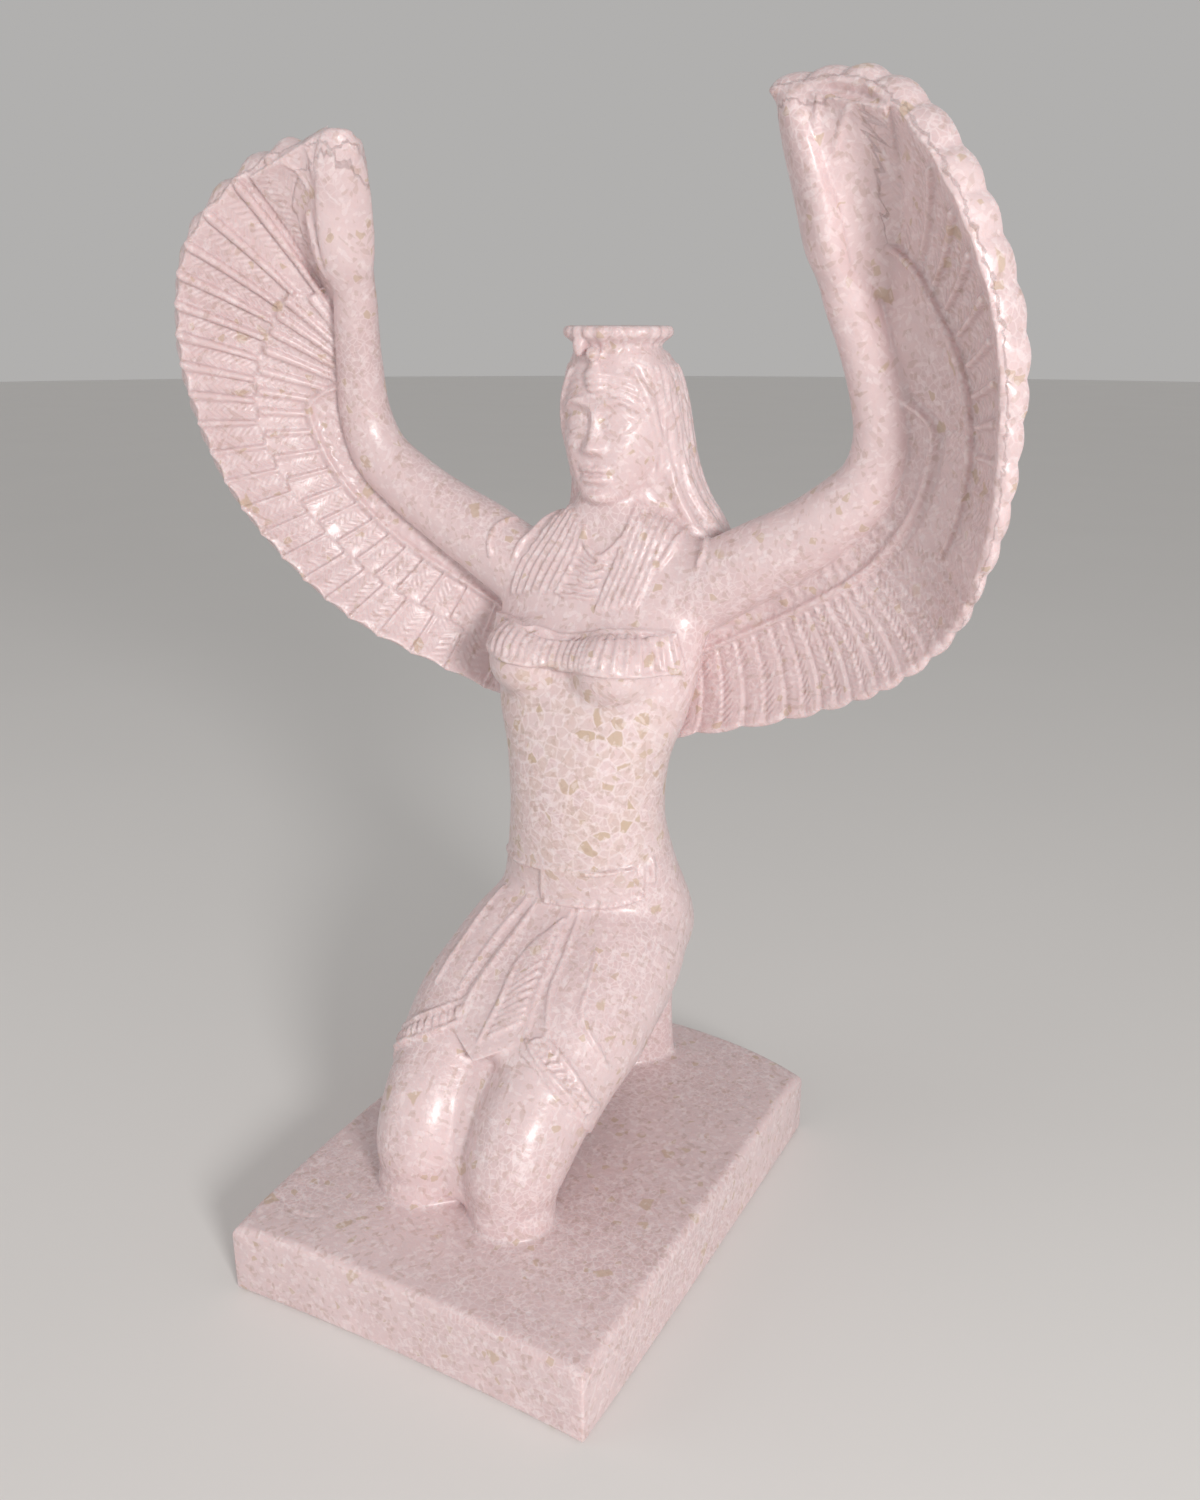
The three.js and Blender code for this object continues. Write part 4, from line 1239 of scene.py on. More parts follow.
def line_tree():
    """Geometry nodes that turn each line into a round raised ridge of its own radius."""
    tree = bpy.data.node_groups.new(RIDGE_TREE, "GeometryNodeTree")
    group_sockets(
        tree,
        [
            ("Geometry", "NodeSocketGeometry", None),
            ("Sides", "NodeSocketInt", RIDGE_SIDES),
            ("Fullness", "NodeSocketFloat", 1.0),
            ("Material", "NodeSocketMaterial", None),
        ],
        [("Geometry", "NodeSocketGeometry")],
    )
    nodes = tree.nodes
    link = tree.links.new
    source = nodes.new("NodeGroupInput")
    curves = nodes.new("GeometryNodeMeshToCurve")
    width = nodes.new("GeometryNodeInputNamedAttribute")
    width.data_type = "FLOAT"
    width.inputs["Name"].default_value = "ridge_radius"
    full = math_node(tree, "MULTIPLY", width.outputs["Attribute"], source.outputs["Fullness"])
    profile = nodes.new("GeometryNodeCurvePrimitiveCircle")
    profile.inputs["Radius"].default_value = 1.0
    swept = nodes.new("GeometryNodeCurveToMesh")
    swept.inputs["Fill Caps"].default_value = True
    real = nodes.new("GeometryNodeRealizeInstances")
    painted = nodes.new("GeometryNodeSetMaterial")
    result = nodes.new("NodeGroupOutput")
    link(source.outputs["Geometry"], curves.inputs["Mesh"])
    link(source.outputs["Sides"], profile.inputs["Resolution"])
    link(curves.outputs["Curve"], swept.inputs["Curve"])
    link(profile.outputs["Curve"], swept.inputs["Profile Curve"])
    link(full, swept.inputs["Scale"])
    link(swept.outputs["Mesh"], real.inputs["Geometry"])
    link(real.outputs["Geometry"], painted.inputs["Geometry"])
    link(source.outputs["Material"], painted.inputs["Material"])
    link(painted.outputs["Geometry"], result.inputs["Geometry"])
    return tree


def socket_id(tree, name):
    """What a modifier calls an input of its tree."""
    for item in tree.interface.items_tree:
        if item.in_out == "INPUT" and item.name == name:
            return item.identifier
    raise RuntimeError("the tree has no input named " + name)


def raised_lines(name, lines):
    """Mesh object with a ridge along each line; a line is its points and its radii."""
    points = np.vstack([spots for spots, _ in lines])
    radii = np.concatenate([radius for _, radius in lines])
    pairs = []
    start = 0
    for spots, _ in lines:
        run = np.arange(start, start + len(spots) - 1)
        pairs.append(np.column_stack([run, run + 1]))
        start += len(spots)
    pairs = np.vstack(pairs)
    mesh = bpy.data.meshes.new(name)
    mesh.vertices.add(len(points))
    mesh.vertices.foreach_set("co", (points * MM).ravel())
    mesh.edges.add(len(pairs))
    mesh.edges.foreach_set("vertices", pairs.astype(np.int32).ravel())
    width = mesh.attributes.new("ridge_radius", "FLOAT", "POINT")
    width.data.foreach_set("value", (radii * MM).astype(np.float32))
    mesh.update()
    made = added(name, mesh)
    tree = bpy.data.node_groups.get(RIDGE_TREE) or line_tree()
    step = made.modifiers.new("ridges", "NODES")
    step.node_group = tree
    for socket, value in (("Sides", RIDGE_SIDES), ("Fullness", 1.0), ("Material", resin())):
        step[socket_id(tree, socket)] = value
    return baked(made)


def chest_way(point):
    """Straight ahead in the middle of the chest, and more and more sideways to its sides."""
    return Vector((0.8 * point[0], point[1] - 48, 0)).normalized()


def lap_way(_):
    """Up from the slope of the lap, wherever the point is."""
    return Vector(LAP_WAY)


def stroke(surface, points, radius, proud, way=None, end=0.15):
    """Line on the body that stands proud by a share of its radius and thins out to both ends."""
    return surface.snapped(points, proud * radius, way), tapered(radius, len(points), end)


def strokes(surface, paths, *how):
    return [stroke(surface, points, *how) for points in paths]


def ridges(surface, paths, radius, proud, way=None, count=40):
    """Long smooth strokes, each through a few places on the body."""
    paths = [line(points, count) for points in paths]
    return strokes(surface, paths, radius, proud, way, 0.12)


def wavy(points, size, waves):
    """Line that sways a little to its sides, as hand cut lines do."""
    spots = line(points)
    along = np.linspace(0, 2 * math.pi * waves, len(spots))
    spots[:, 2] += size * np.sin(along + spots[0, 0])
    return spots


def dress_lines(surface):
    """Ridges of the lappets, collar, band, sash, apron and hems."""
    lines = chest_lines(surface)
    lines += ridges(surface, (BELT_TOP, BELT_BOTTOM), 0.85, 0.3)
    lines += ridges(surface, SASH_ENDS, 1.1, 0.2)
    lines += ridges(surface, [SPINE], 1.2, 0, lap_way)
    lines += ridges(surface, [APRON_SIDE], 1.1, 0, lap_way)
    lines += ridges(surface, KILT_LINES[:3], 1.05, -0.1, lap_way)
    lines += ridges(surface, KILT_LINES[3:], 1.05, -0.1)
    cuts_on_sash = rungs(SPINE, APRON_SIDE, 14, -0.13, 0.16, 0.98, 0.7)
    lines += strokes(surface, cuts_on_sash, 0.75, 0.5, lap_way)
    for low, high in HEMS:
        lines += ridges(surface, [low], 1.1, 0.2)
        lines += ridges(surface, [high], 0.9, 0.2)
        lines += strokes(surface, rungs(low, high, 12, 0.0, 0.05, 0.95, 0.5), 0.7, 0.5)
    return lines


def chest_lines(surface):
    """Strands of the lappets, rows of the collar, neckline, pleated band and sleeves."""
    lines = []
    for (first, last), count in zip(LAPPETS, (7, 6)):
        lines += strokes(surface, fan_of_lines(first, last, count), 0.8, 0.1)
    rows = [wavy(points, 0.35, 1.5) for points in fan_of_lines(COLLAR_TOP, COLLAR_BOTTOM, 5)]
    lines += strokes(surface, rows, 0.65, 1.1, chest_way)
    lines += ridges(surface, [NECKLINE], 0.9, 0.5)
    pleats = rungs(BAND_TOP, BAND_BOTTOM, 26, 0.0, 0.02, 0.98, 0.86)
    lines += strokes(surface, pleats, 0.9, 0, chest_way)
    lines += ridges(surface, (BAND_TOP, BAND_BOTTOM), 0.9, 0.3, chest_way, 120)
    return lines + ridges(surface, SLEEVES, 1.1, 0.2)


def wig_lines(surface):
    """Wavy upright strands all round the wig, and the ridges that frame the face."""
    strands = []
    for k in range(WIG_STRANDS):
        turn = math.radians(WIG_PARTING + (360 - 2 * WIG_PARTING) * k / (WIG_STRANDS - 1))
        z = np.linspace(260, 184 + 4 * math.sin(k * 1.7), 110)
        sway = turn + 0.03 * np.sin(z / 5 + k * 2.1) + 0.02 * np.sin(z / 2.3 + k)
        strands.append(wig_place(z, sway))
    lines = strokes(surface, strands, 0.8, 0.1)
    for side in (1, -1):
        for points, radius in ((FRONT_STRAND, 1.6), (STRAND_CURL, 1.1)):
            lines += ridges(surface, [[(side * x, y, z) for x, y, z in points]], radius, 0)
    return lines + ridges(surface, WIG_FOLDS, 2.1, 0)


def forehead_lines(surface):
    """Arches of hair over the forehead, which come down at the temples."""
    turn = np.radians(np.linspace(-66, 66, 50))
    arches = []
    for k in range(4):
        z = 251.4 + 2.1 * k - (9 - 1.2 * k) * np.abs(np.sin(turn)) ** 3
        arches.append(rings_of(16 * np.sin(turn), 49 - 15 * np.cos(turn), z))
    return strokes(surface, arches, 0.75, -0.1)


def body_stock(sizes):
    """The plain body: torso, limbs and wig run into each other with soft hollows."""
    solids = [torso(), wig(), apron(*LAP_FILL), limb(CLEFT, 1, ACROSS, 40, 48)]
    for side in (1, -1):
        x = BREAST_SHIFT + side * BREAST_APART
        solids.append(ellipsoid((x, *BREAST_MIDDLE), BREAST_RADII))
        solids.append(limb(THIGH, side, ACROSS, 70, 72))
        solids.append(limb(SHIN, side, ACROSS, 60, 64))
        solids.append(foot(side))
        solids.append(ellipsoid((KNEE_SHIFT + side * KNEE_PAD[0][0], *KNEE_PAD[0][1:]), KNEE_PAD[1]))
        solids.append(limb(ARM, side, BACKWARDS, 80, 48, lean=False))
        solids.append(limb(HAND, side, BLADE, 30, 48, lean=False))
    made = new_mesh("body stock", *together(solids))
    fused(made, sizes.body_voxel)
    return relaxed(made, sizes.body_rounds, soft_places)


def mirrored(place):
    """The same place on her other side."""
    x, y, z = place
    return -x, y, z


def soft_places(points):
    """Mask that is 1 at the joints of the body and small elsewhere."""
    share = np.full(len(points), LEAST_SOFT)
    for middle, reach in JOINTS + SIDE_JOINTS + [(mirrored(p), r) for p, r in SIDE_JOINTS]:
        gap = np.linalg.norm(points - np.array(middle), axis=1)
        share = np.maximum(share, 1 - smoothstep(gap, reach * 0.5, reach))
    return share


def worn_places(points):
    """Mask that is 1 where the knees and feet run into the plinth, and at the tips of the hands."""
    near = smoothstep(points[:, 2], PLINTH_CROWN - 2, PLINTH_CROWN)
    near *= 1 - smoothstep(points[:, 2], PLINTH_CROWN + 2, PLINTH_CROWN + 6)
    reach = np.full(len(points), 1e3)
    for x, y, r in BASE_SPOTS:
        reach = np.minimum(reach, np.hypot(points[:, 0] - x, points[:, 1] - y) - r)
    mask = near * (1 - smoothstep(reach, 0, 6))
    for tip in (HAND_TIP, mirrored(HAND_TIP)):
        gap = np.linalg.norm(points - np.array(tip), axis=1)
        mask = np.maximum(mask, 1 - smoothstep(gap, 5, 9))
    return mask


def moved_in(made, depth_at):
    """Moves each point inwards along its normal, as deep as the function says in millimetres."""
    mesh = made.data
    points = places(mesh) / MM
    normals = np.empty(points.size)
    mesh.vertices.foreach_get("normal", normals)
    points -= normals.reshape(-1, 3) * depth_at(points)[:, None]
    points[:, 2] = np.maximum(points[:, 2], 0)
    put(mesh, points * MM)
    return made


def near_box(points, others, margin):
    """Which points lie in the box round the others, or within a margin of it."""
    low = others.min(0) - margin
    high = others.max(0) + margin
    return np.flatnonzero(((points > low) & (points < high)).all(1))


def cuts(points):
    """Depth of the grooves and nicks."""
    depth = np.zeros(len(points))
    other_hand = [([mirrored(place) for place in path], *size) for path, *size in HAND_GROOVES]
    for path, width, cut in HAND_GROOVES + other_hand + GROOVES:
        path = line(path, 60)
        close = near_box(points, path, 3 * width)
        gap = np.linalg.norm(points[close, None] - path[None], axis=-1).min(1)
        depth[close] = np.maximum(depth[close], cut * hump(gap, 0, width))
    for middle, reach, cut in NICKS:
        gap = np.linalg.norm(points - np.array(middle), axis=1)
        depth = np.maximum(depth, cut * hump(gap, 0, reach))
    return depth


def unevenness(points):
    """Slight waves that polishing by hand leaves."""
    x, y, z = points.T
    wave = np.sin(x / 3.1 + 1.3 * np.sin(y / 4.7)) * np.sin(z / 3.7 + 1.1 * np.sin(x / 5.3))
    wave += 0.6 * np.sin(y / 1.9 + np.sin(z / 2.3)) * np.sin(x / 2.2 + np.sin(y / 2.9))
    return POLISH_DEPTH * wave


def thinned(made, triangles):
    """Keeps the shape with at most so many triangles."""
    made.data.calc_loop_triangles()
    step = made.modifiers.new("thin", "DECIMATE")
    step.ratio = triangles / len(made.data.loop_triangles)
    return baked(made)


def connected(start, left):
    """Takes all the points that hang together with the first one out of those left."""
    group = {start}
    reached = [start]
    while reached:
        spot = reached.pop()
        for edge in spot.link_edges:
            other = edge.other_vert(spot)
            if other in left:
                left.remove(other)
                group.add(other)
                reached.append(other)
    return group


def without_crumbs(made):
    """Keeps the one connected casting, without the crumbs that the thinning can leave."""
    form = bmesh.new()
    form.from_mesh(made.data)
    left = set(form.verts)
    groups = []
    while left:
        groups.append(connected(left.pop(), left))
    largest = max(groups, key=len)
    crumbs = [spot for spot in form.verts if spot not in largest]
    bmesh.ops.delete(form, geom=crumbs, context="VERTS")
    form.to_mesh(made.data)
    form.free()
    return made


def fitted(made):
    """Moves the casting from the middle of the plinth to its place in the frame, inside its box."""
    low, high = (np.array(corner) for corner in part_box(NODE))
    points = places(made.data)
    points[:, :2] += low[:2] - np.array(CAD_LOW) * MM
    put(made.data, np.clip(points, low + 1e-5, high - 1e-5))
    return made


def joined(objects, name):
    """One mesh object of several."""
    solids = []
    for made in objects:
        solids.append(solid_arrays(made))
        old = made.data
        bpy.data.objects.remove(made)
        bpy.data.meshes.remove(old)
    return new_mesh(name, *together(solids))


def wing_grid(form):
    """Points over the plain front of a wing, each one's place among the feathers, and triangles."""
    s, t = np.meshgrid(np.linspace(0, 1, 241), np.linspace(0.1, 1, 61), indexing="ij")
    bare = WingShape(form).front(s, t, np.zeros(s.shape))
    reach = np.linalg.norm(bare[:, -1] - bare[:, 0], axis=-1)[:, None] * t
    known = rings_of(s * FEATHERS, reach, t)
    order = np.arange(s.size).reshape(s.shape)
    a, b, c, d = order[:-1, :-1], order[1:, :-1], order[1:, 1:], order[:-1, 1:]
    faces = [rings_of(*corners).reshape(-1, 3) for corners in ((a, b, c), (a, c, d))]
    return bare.reshape(-1, 3), known.reshape(-1, 3), np.vstack(faces)


def feather_map(made):
    """Keeps, at each point of the wings' fronts, its place among the feathers for the barbs."""
    points, _ = solid_arrays(made)
    value = np.zeros((len(points), 3))
    for form in (LEFT_WING, RIGHT_WING):
        grid, known, faces = wing_grid(form)
        tree = tree_of(grid, faces)
        for i in near_box(points, grid, BARB_REACH):
            spot, _, face, _ = tree.find_nearest(Vector(points[i]), BARB_REACH)
            if face is not None:
                value[i] = blended(np.array(spot), grid[faces[face]], known[faces[face]])
    kept = made.data.attributes.new("feather_place", "FLOAT_VECTOR", "POINT")
    kept.data.foreach_set("vector", value.astype(np.float32).ravel())


def blended(spot, corners, values):
    """Value at a spot of a triangle whose corners have these values."""
    u = corners[1] - corners[0]
    v = corners[2] - corners[0]
    w = spot - corners[0]
    uu, uv, vv, wu, wv = u @ u, u @ v, v @ v, w @ u, w @ v
    room = uu * vv - uv * uv
    b = (vv * wu - uv * wv) / room
    c = (uu * wv - uv * wu) / room
    return values[0] * (1 - b - c) + values[1] * b + values[2] * c


def stock(name):
    made = bpy.data.objects.get(name)
    if made is None:
        raise RuntimeError(name + " has to be built first")
    return made


def node(tree, kind, **inputs):
    """Adds a shader node and sets its inputs by name."""
    made = tree.nodes.new(kind)
    for name, value in inputs.items():
        made.inputs[name.replace("_", " ")].default_value = value
    return made


def feed(tree, socket, value):
    """Gives an input a value, or links it to another node's output."""
    if isinstance(value, bpy.types.NodeSocket):
        tree.links.new(value, socket)
    else:
        socket.default_value = value


def operate(tree, kind, operation, *values):
    """Adds a node that does one operation on its values."""
    made = tree.nodes.new(kind)
    made.operation = operation
    for socket, value in zip(made.inputs, values):
        feed(tree, socket, value)
    return made.outputs


def math_node(tree, operation, *values):
    return operate(tree, "ShaderNodeMath", operation, *values)["Value"]


def times(tree, first, *others):
    """Product of all the values."""
    for other in others:
        first = math_node(tree, "MULTIPLY", first, other)
    return first


def plus(tree, first, *others):
    """Sum of all the values."""
    for other in others:
        first = math_node(tree, "ADD", first, other)
    return first


def one_less(tree, value):
    """1 minus the value."""
    return math_node(tree, "SUBTRACT", 1.0, value)


def noise(tree, place, scale, detail, roughness=0.5):
    made = node(tree, "ShaderNodeTexNoise", Scale=scale, Detail=detail, Roughness=roughness)
    tree.links.new(place, made.inputs["Vector"])
    return made.outputs


def mix_colours(tree, share, first, second):
    made = tree.nodes.new("ShaderNodeMix")
    made.data_type = "RGBA"
    tree.links.new(share, made.inputs[0])
    for socket, value in ((made.inputs[6], first), (made.inputs[7], second)):
        if not isinstance(value, bpy.types.NodeSocket):
            value = (*value, 1)
        feed(tree, socket, value)
    return made.outputs[2]


def ramp(tree, value, low, high):
    """Goes softly from 0 at low to 1 at high."""
    made = tree.nodes.new("ShaderNodeMapRange")
    made.interpolation_type = "SMOOTHSTEP"
    for name, given in (("Value", value), ("From Min", low), ("From Max", high)):
        feed(tree, made.inputs[name], given)
    return made.outputs["Result"]


def flake_group():
    """Angular flakes of shell: the pale seam round each, and two random values for each flake."""
    tree = bpy.data.node_groups.new(FLAKE_TREE, "ShaderNodeTree")
    group_sockets(
        tree,
        [
            ("Vector", "NodeSocketVector", None),
            ("Scale", "NodeSocketFloat", 200.0),
            ("Turn", "NodeSocketVector", (0, 0, 0)),
            ("Stretch", "NodeSocketVector", (1, 1, 1)),
            ("Seam Width", "NodeSocketFloat", 0.1),
        ],
        [("Seam", "NodeSocketFloat"), ("Tone", "NodeSocketFloat"), ("Pick", "NodeSocketFloat")],
    )
    source = tree.nodes.new("NodeGroupInput").outputs
    result = tree.nodes.new("NodeGroupOutput").inputs
    link = tree.links.new
    wobble = noise(tree, source["Vector"], 330.0, 2.0)["Color"]
    kind = "ShaderNodeVectorMath"
    bent = operate(tree, kind, "MULTIPLY_ADD", wobble, (FLAKE_BEND,) * 3, source["Vector"])["Vector"]
    turned = tree.nodes.new("ShaderNodeMapping")
    link(bent, turned.inputs["Vector"])
    link(source["Turn"], turned.inputs["Rotation"])
    squeezed = operate(tree, kind, "MULTIPLY", turned.outputs["Vector"], source["Stretch"])["Vector"]
    found = {}
    for feature in ("F1", "DISTANCE_TO_EDGE"):
        cells = node(tree, "ShaderNodeTexVoronoi", Randomness=1.0)
        cells.feature = feature
        link(squeezed, cells.inputs["Vector"])
        link(source["Scale"], cells.inputs["Scale"])
        found[feature] = cells.outputs
    parts = tree.nodes.new("ShaderNodeSeparateColor")
    link(found["F1"]["Color"], parts.inputs["Color"])
    inside = ramp(tree, found["DISTANCE_TO_EDGE"]["Distance"], 0.0, source["Seam Width"])
    link(one_less(tree, inside), result["Seam"])
    link(parts.outputs[0], result["Tone"])
    link(parts.outputs[1], result["Pick"])
    return tree


def flakes(tree, place, scale, turn=(0, 0, 0), stretch=(1, 1, 1), seam=0.1):
    made = tree.nodes.new("ShaderNodeGroup")
    made.node_tree = bpy.data.node_groups.get(FLAKE_TREE) or flake_group()
    given = {"Vector": place, "Scale": scale, "Turn": turn, "Stretch": stretch, "Seam Width": seam}
    for name, value in given.items():
        feed(tree, made.inputs[name], value)
    return made.outputs


def picked(tree, found, low, high, amount):
    """Mask of the flakes whose random pick lies between low and high, without their seams."""
    over = ramp(tree, found["Pick"], low, low + 0.01)
    under = one_less(tree, ramp(tree, found["Pick"], high - 0.01, high))
    return times(tree, over, under, one_less(tree, found["Seam"]), amount)


def belly_mask(tree, place):
    """1 on the belly, where the flakes are larger, and 0 elsewhere."""
    away = operate(tree, "ShaderNodeVectorMath", "DISTANCE", place, BELLY)["Value"]
    return one_less(tree, ramp(tree, away, *BELLY_REACH))


def barb_height(tree):
    """Slanted barbs in the panels of the feathers, from each point's place on the wing."""
    sizes = bpy.context.scene.statue_sizes
    where = tree.nodes.new("ShaderNodeAttribute")
    where.attribute_name = "feather_place"
    parts = tree.nodes.new("ShaderNodeSeparateXYZ")
    tree.links.new(where.outputs["Vector"], parts.inputs["Vector"])
    place, reach, run = parts.outputs
    row = math_node(tree, "LESS_THAN", run, (ROW_END + ROW_END_ABOVE) / 2)
    place = plus(tree, place, times(tree, row, 0.5))
    share = math_node(tree, "SUBTRACT", math_node(tree, "FRACT", place), 0.5)
    aside = math_node(tree, "ABSOLUTE", share)
    barbs = math_node(tree, "DIVIDE", reach, sizes.barb_pitch / MM)
    turn = times(tree, plus(tree, barbs, times(tree, aside, BARB_SLANT)), 6.2832)
    inside = one_less(tree, ramp(tree, aside, 0.24, 0.36))
    end = one_less(tree, ramp(tree, run, 0.93, 0.97))
    mask = times(tree, inside, ramp(tree, run, 0.36, 0.42), end)
    return times(tree, math_node(tree, "SINE", turn), mask)


def resin_colour(tree, place, look):
    """Ivory pink ground with shell flakes, pale seams, tan chips and fine dashes."""
    zone = noise(tree, place, 26.0, 4.0, 0.6)["Fac"]
    belly = belly_mask(tree, place)
    fine = flakes(tree, place, look.flake_scale * 1.8, seam=0.14)
    broad = flakes(tree, place, look.flake_scale, turn=(0.4, 0.9, 0.2), seam=0.12)
    veined = plus(tree, times(tree, ramp(tree, zone, 0.42, 0.62), 0.4), 0.06)
    body = mix_colours(tree, ramp(tree, zone, 0.3, 0.7), look.body, look.shade)
    layers = [
        (times(tree, fine["Tone"], 0.18), look.shade),
        (times(tree, fine["Seam"], veined), look.vein),
        (times(tree, broad["Tone"], belly, 0.34), look.chip),
        (times(tree, broad["Seam"], belly, 0.5), look.vein),
        (times(tree, picked(tree, broad, 0.86, 1.1, 0.85), belly), look.chip),
        (picked(tree, broad, 0.975, 1.1, 0.75), look.chip),
        (picked(tree, fine, 0.97, 1.1, 0.7), look.chip),
    ]
    for turn in DASH_TURNS:
        dashes = flakes(tree, place, look.dash_scale, turn, DASH_STRETCH, 0.14)
        layers.append((picked(tree, dashes, 0.93, 1.1, 0.3), look.dash))
        layers.append((picked(tree, dashes, 0.0, 0.12, 0.4), look.vein))
    for share, colour in layers:
        body = mix_colours(tree, share, body, colour)
    return body


def resin():
    """Ivory pink resin full of crushed shell, with a soft gloss."""
    found = bpy.data.materials.get(RESIN)
    if found:
        return found
    look = bpy.context.scene.shell_resin
    made = bpy.data.materials.new(RESIN)
    made.use_nodes = True
    tree = made.node_tree
    tree.nodes.clear()
    link = tree.links.new
    place = tree.nodes.new("ShaderNodeTexCoord").outputs["Object"]
    shader = node(
        tree,
        "ShaderNodeBsdfPrincipled",
        Subsurface_Weight=look.glow,
        Subsurface_Radius=(1.0, 0.6, 0.5),
        Subsurface_Scale=look.glow_depth,
        IOR=1.5,
        Coat_Weight=0.2,
        Coat_Roughness=0.2,
    )
    link(resin_colour(tree, place, look), shader.inputs["Base Color"])
    swell = noise(tree, place, 260.0, 3.0, 0.55)["Fac"]
    grit = noise(tree, place, 1000.0, 2.0, 0.6)["Fac"]
    barbs = times(tree, barb_height(tree), look.barb_relief)
    bump = node(tree, "ShaderNodeBump", Strength=0.6, Distance=0.0006)
    link(plus(tree, swell, times(tree, grit, 0.2), barbs), bump.inputs["Height"])
    link(bump.outputs["Normal"], shader.inputs["Normal"])
    gloss = times(tree, ramp(tree, swell, 0.25, 0.75), 0.18)
    link(plus(tree, gloss, look.roughness), shader.inputs["Roughness"])
    out = tree.nodes.new("ShaderNodeOutputMaterial")
    link(shader.outputs["BSDF"], out.inputs["Surface"])
    return made


def floor_paint():
    """Plain pale card with the slightest mottling."""
    look = bpy.context.scene.statue_studio
    made = bpy.data.materials.new("pale studio floor")
    made.use_nodes = True
    tree = made.node_tree
    shader = tree.nodes["Principled BSDF"]
    place = tree.nodes.new("ShaderNodeTexCoord").outputs["Object"]
    darker = tuple(value * 0.97 for value in look.floor)
    colour = mix_colours(tree, noise(tree, place, 6.0, 3.0)["Fac"], look.floor, darker)
    tree.links.new(colour, shader.inputs["Base Color"])
    shader.inputs["Roughness"].default_value = 0.75
    return made


class StatueSizes(PropertyGroup):
    """Sizes of the carving and of the mesh."""

    feather_step: FloatProperty(
        name="Feather step", description="How far the first row of feathers stands over the second",
        default=1.0 * MM, unit="LENGTH", precision=5)
    barb_pitch: FloatProperty(
        name="Barb pitch", description="Distance from one barb of a feather to the next",
        default=1.9 * MM, unit="LENGTH", precision=5)
    body_voxel: FloatProperty(
        name="Body voxel", description="Fineness of the plain body before it is carved",
        default=1.0 * MM, unit="LENGTH", precision=5)
    body_rounds: IntProperty(
        name="Body smoothing", description="Rounds of smoothing where the limbs meet the body",
        default=40, min=0)
    voxel: FloatProperty(
        name="Casting voxel", description="Fineness of the skin that joins all the stock",
        default=0.5 * MM, unit="LENGTH", precision=5)
    triangles: IntProperty(
        name="Triangles", description="Triangles of the finished casting",
        default=197000, min=1000)


class ShellResin(PropertyGroup):
    """Colours and finish of the crushed shell resin."""

    body: FloatVectorProperty(
        name="Body", description="Ivory pink of the resin", subtype="COLOR",
        default=(0.76, 0.605, 0.61))
    shade: FloatVectorProperty(
        name="Shade", description="Deeper pink where the shell is thick", subtype="COLOR",
        default=(0.67, 0.51, 0.515))
    vein: FloatVectorProperty(
        name="Vein", description="Pale resin between flakes", subtype="COLOR",
        default=(0.86, 0.745, 0.75))
    chip: FloatVectorProperty(
        name="Chip", description="Tan flakes of shell", subtype="COLOR", default=(0.58, 0.44, 0.33))
    dash: FloatVectorProperty(
        name="Dash", description="Flakes that stand on edge", subtype="COLOR",
        default=(0.46, 0.32, 0.26))
    flake_scale: FloatProperty(
        name="Flake scale", description="Flakes to a metre on the belly", default=260.0, min=1.0)
    dash_scale: FloatProperty(
        name="Dash scale", description="Thin flakes to a metre", default=460.0, min=1.0)
    barb_relief: FloatProperty(
        name="Barb relief", description="Height of the barbs against the swell of the surface",
        default=0.2)
    roughness: FloatProperty(
        name="Roughness", description="Least roughness of the polish",
        default=0.29, min=0.0, max=1.0)
    glow: FloatProperty(
        name="Glow", description="How much light goes through the resin",
        default=0.25, min=0.0, max=1.0)
    glow_depth: FloatProperty(
        name="Glow depth", description="How deep light goes into the resin",
        default=3.0 * MM, unit="LENGTH", precision=5)


class StatueStudio(PropertyGroup):
    """Floor, light and camera of the picture."""

    floor: FloatVectorProperty(
        name="Floor", description="Colour of the floor", subtype="COLOR", default=(0.8, 0.785, 0.77))
    floor_radius: FloatProperty(
        name="Floor radius", description="Reach of the floor", default=6.0, unit="LENGTH")
    sky: FloatProperty(
        name="Sky", description="Strength of the light from all round", default=0.44, min=0.0)
    key: FloatProperty(
        name="Key light", description="Power of the main light, in watts", default=6.6, min=0.0)
    fill: FloatProperty(
        name="Fill light", description="Power of the light on the shaded side, in watts",
        default=1.5, min=0.0)
    camera_azimuth: FloatProperty(
        name="Camera azimuth", description="Turn of the view from straight ahead",
        default=math.radians(28.717), subtype="ANGLE")
    camera_pitch: FloatProperty(
        name="Camera pitch", description="How far the view looks down",
        default=math.radians(18.522), subtype="ANGLE")
    focal_share: FloatProperty(
        name="Focal share", description="Focal length over the height of the picture",
        default=1300 / 1500)


class STATUE_OT_body(Operator):
    """Builds the plain body: torso, limbs and wig in one soft skin"""

    bl_idname = "statue.body"
    bl_label = "Body stock"

    def execute(self, context):
        body_stock(context.scene.statue_sizes)
        return {"FINISHED"}


class STATUE_OT_plinth(Operator):
    """Builds the plinth"""

    bl_idname = "statue.plinth"
    bl_label = "Plinth stock"

    def execute(self, context):
        new_mesh("plinth stock", *plinth())
        return {"FINISHED"}


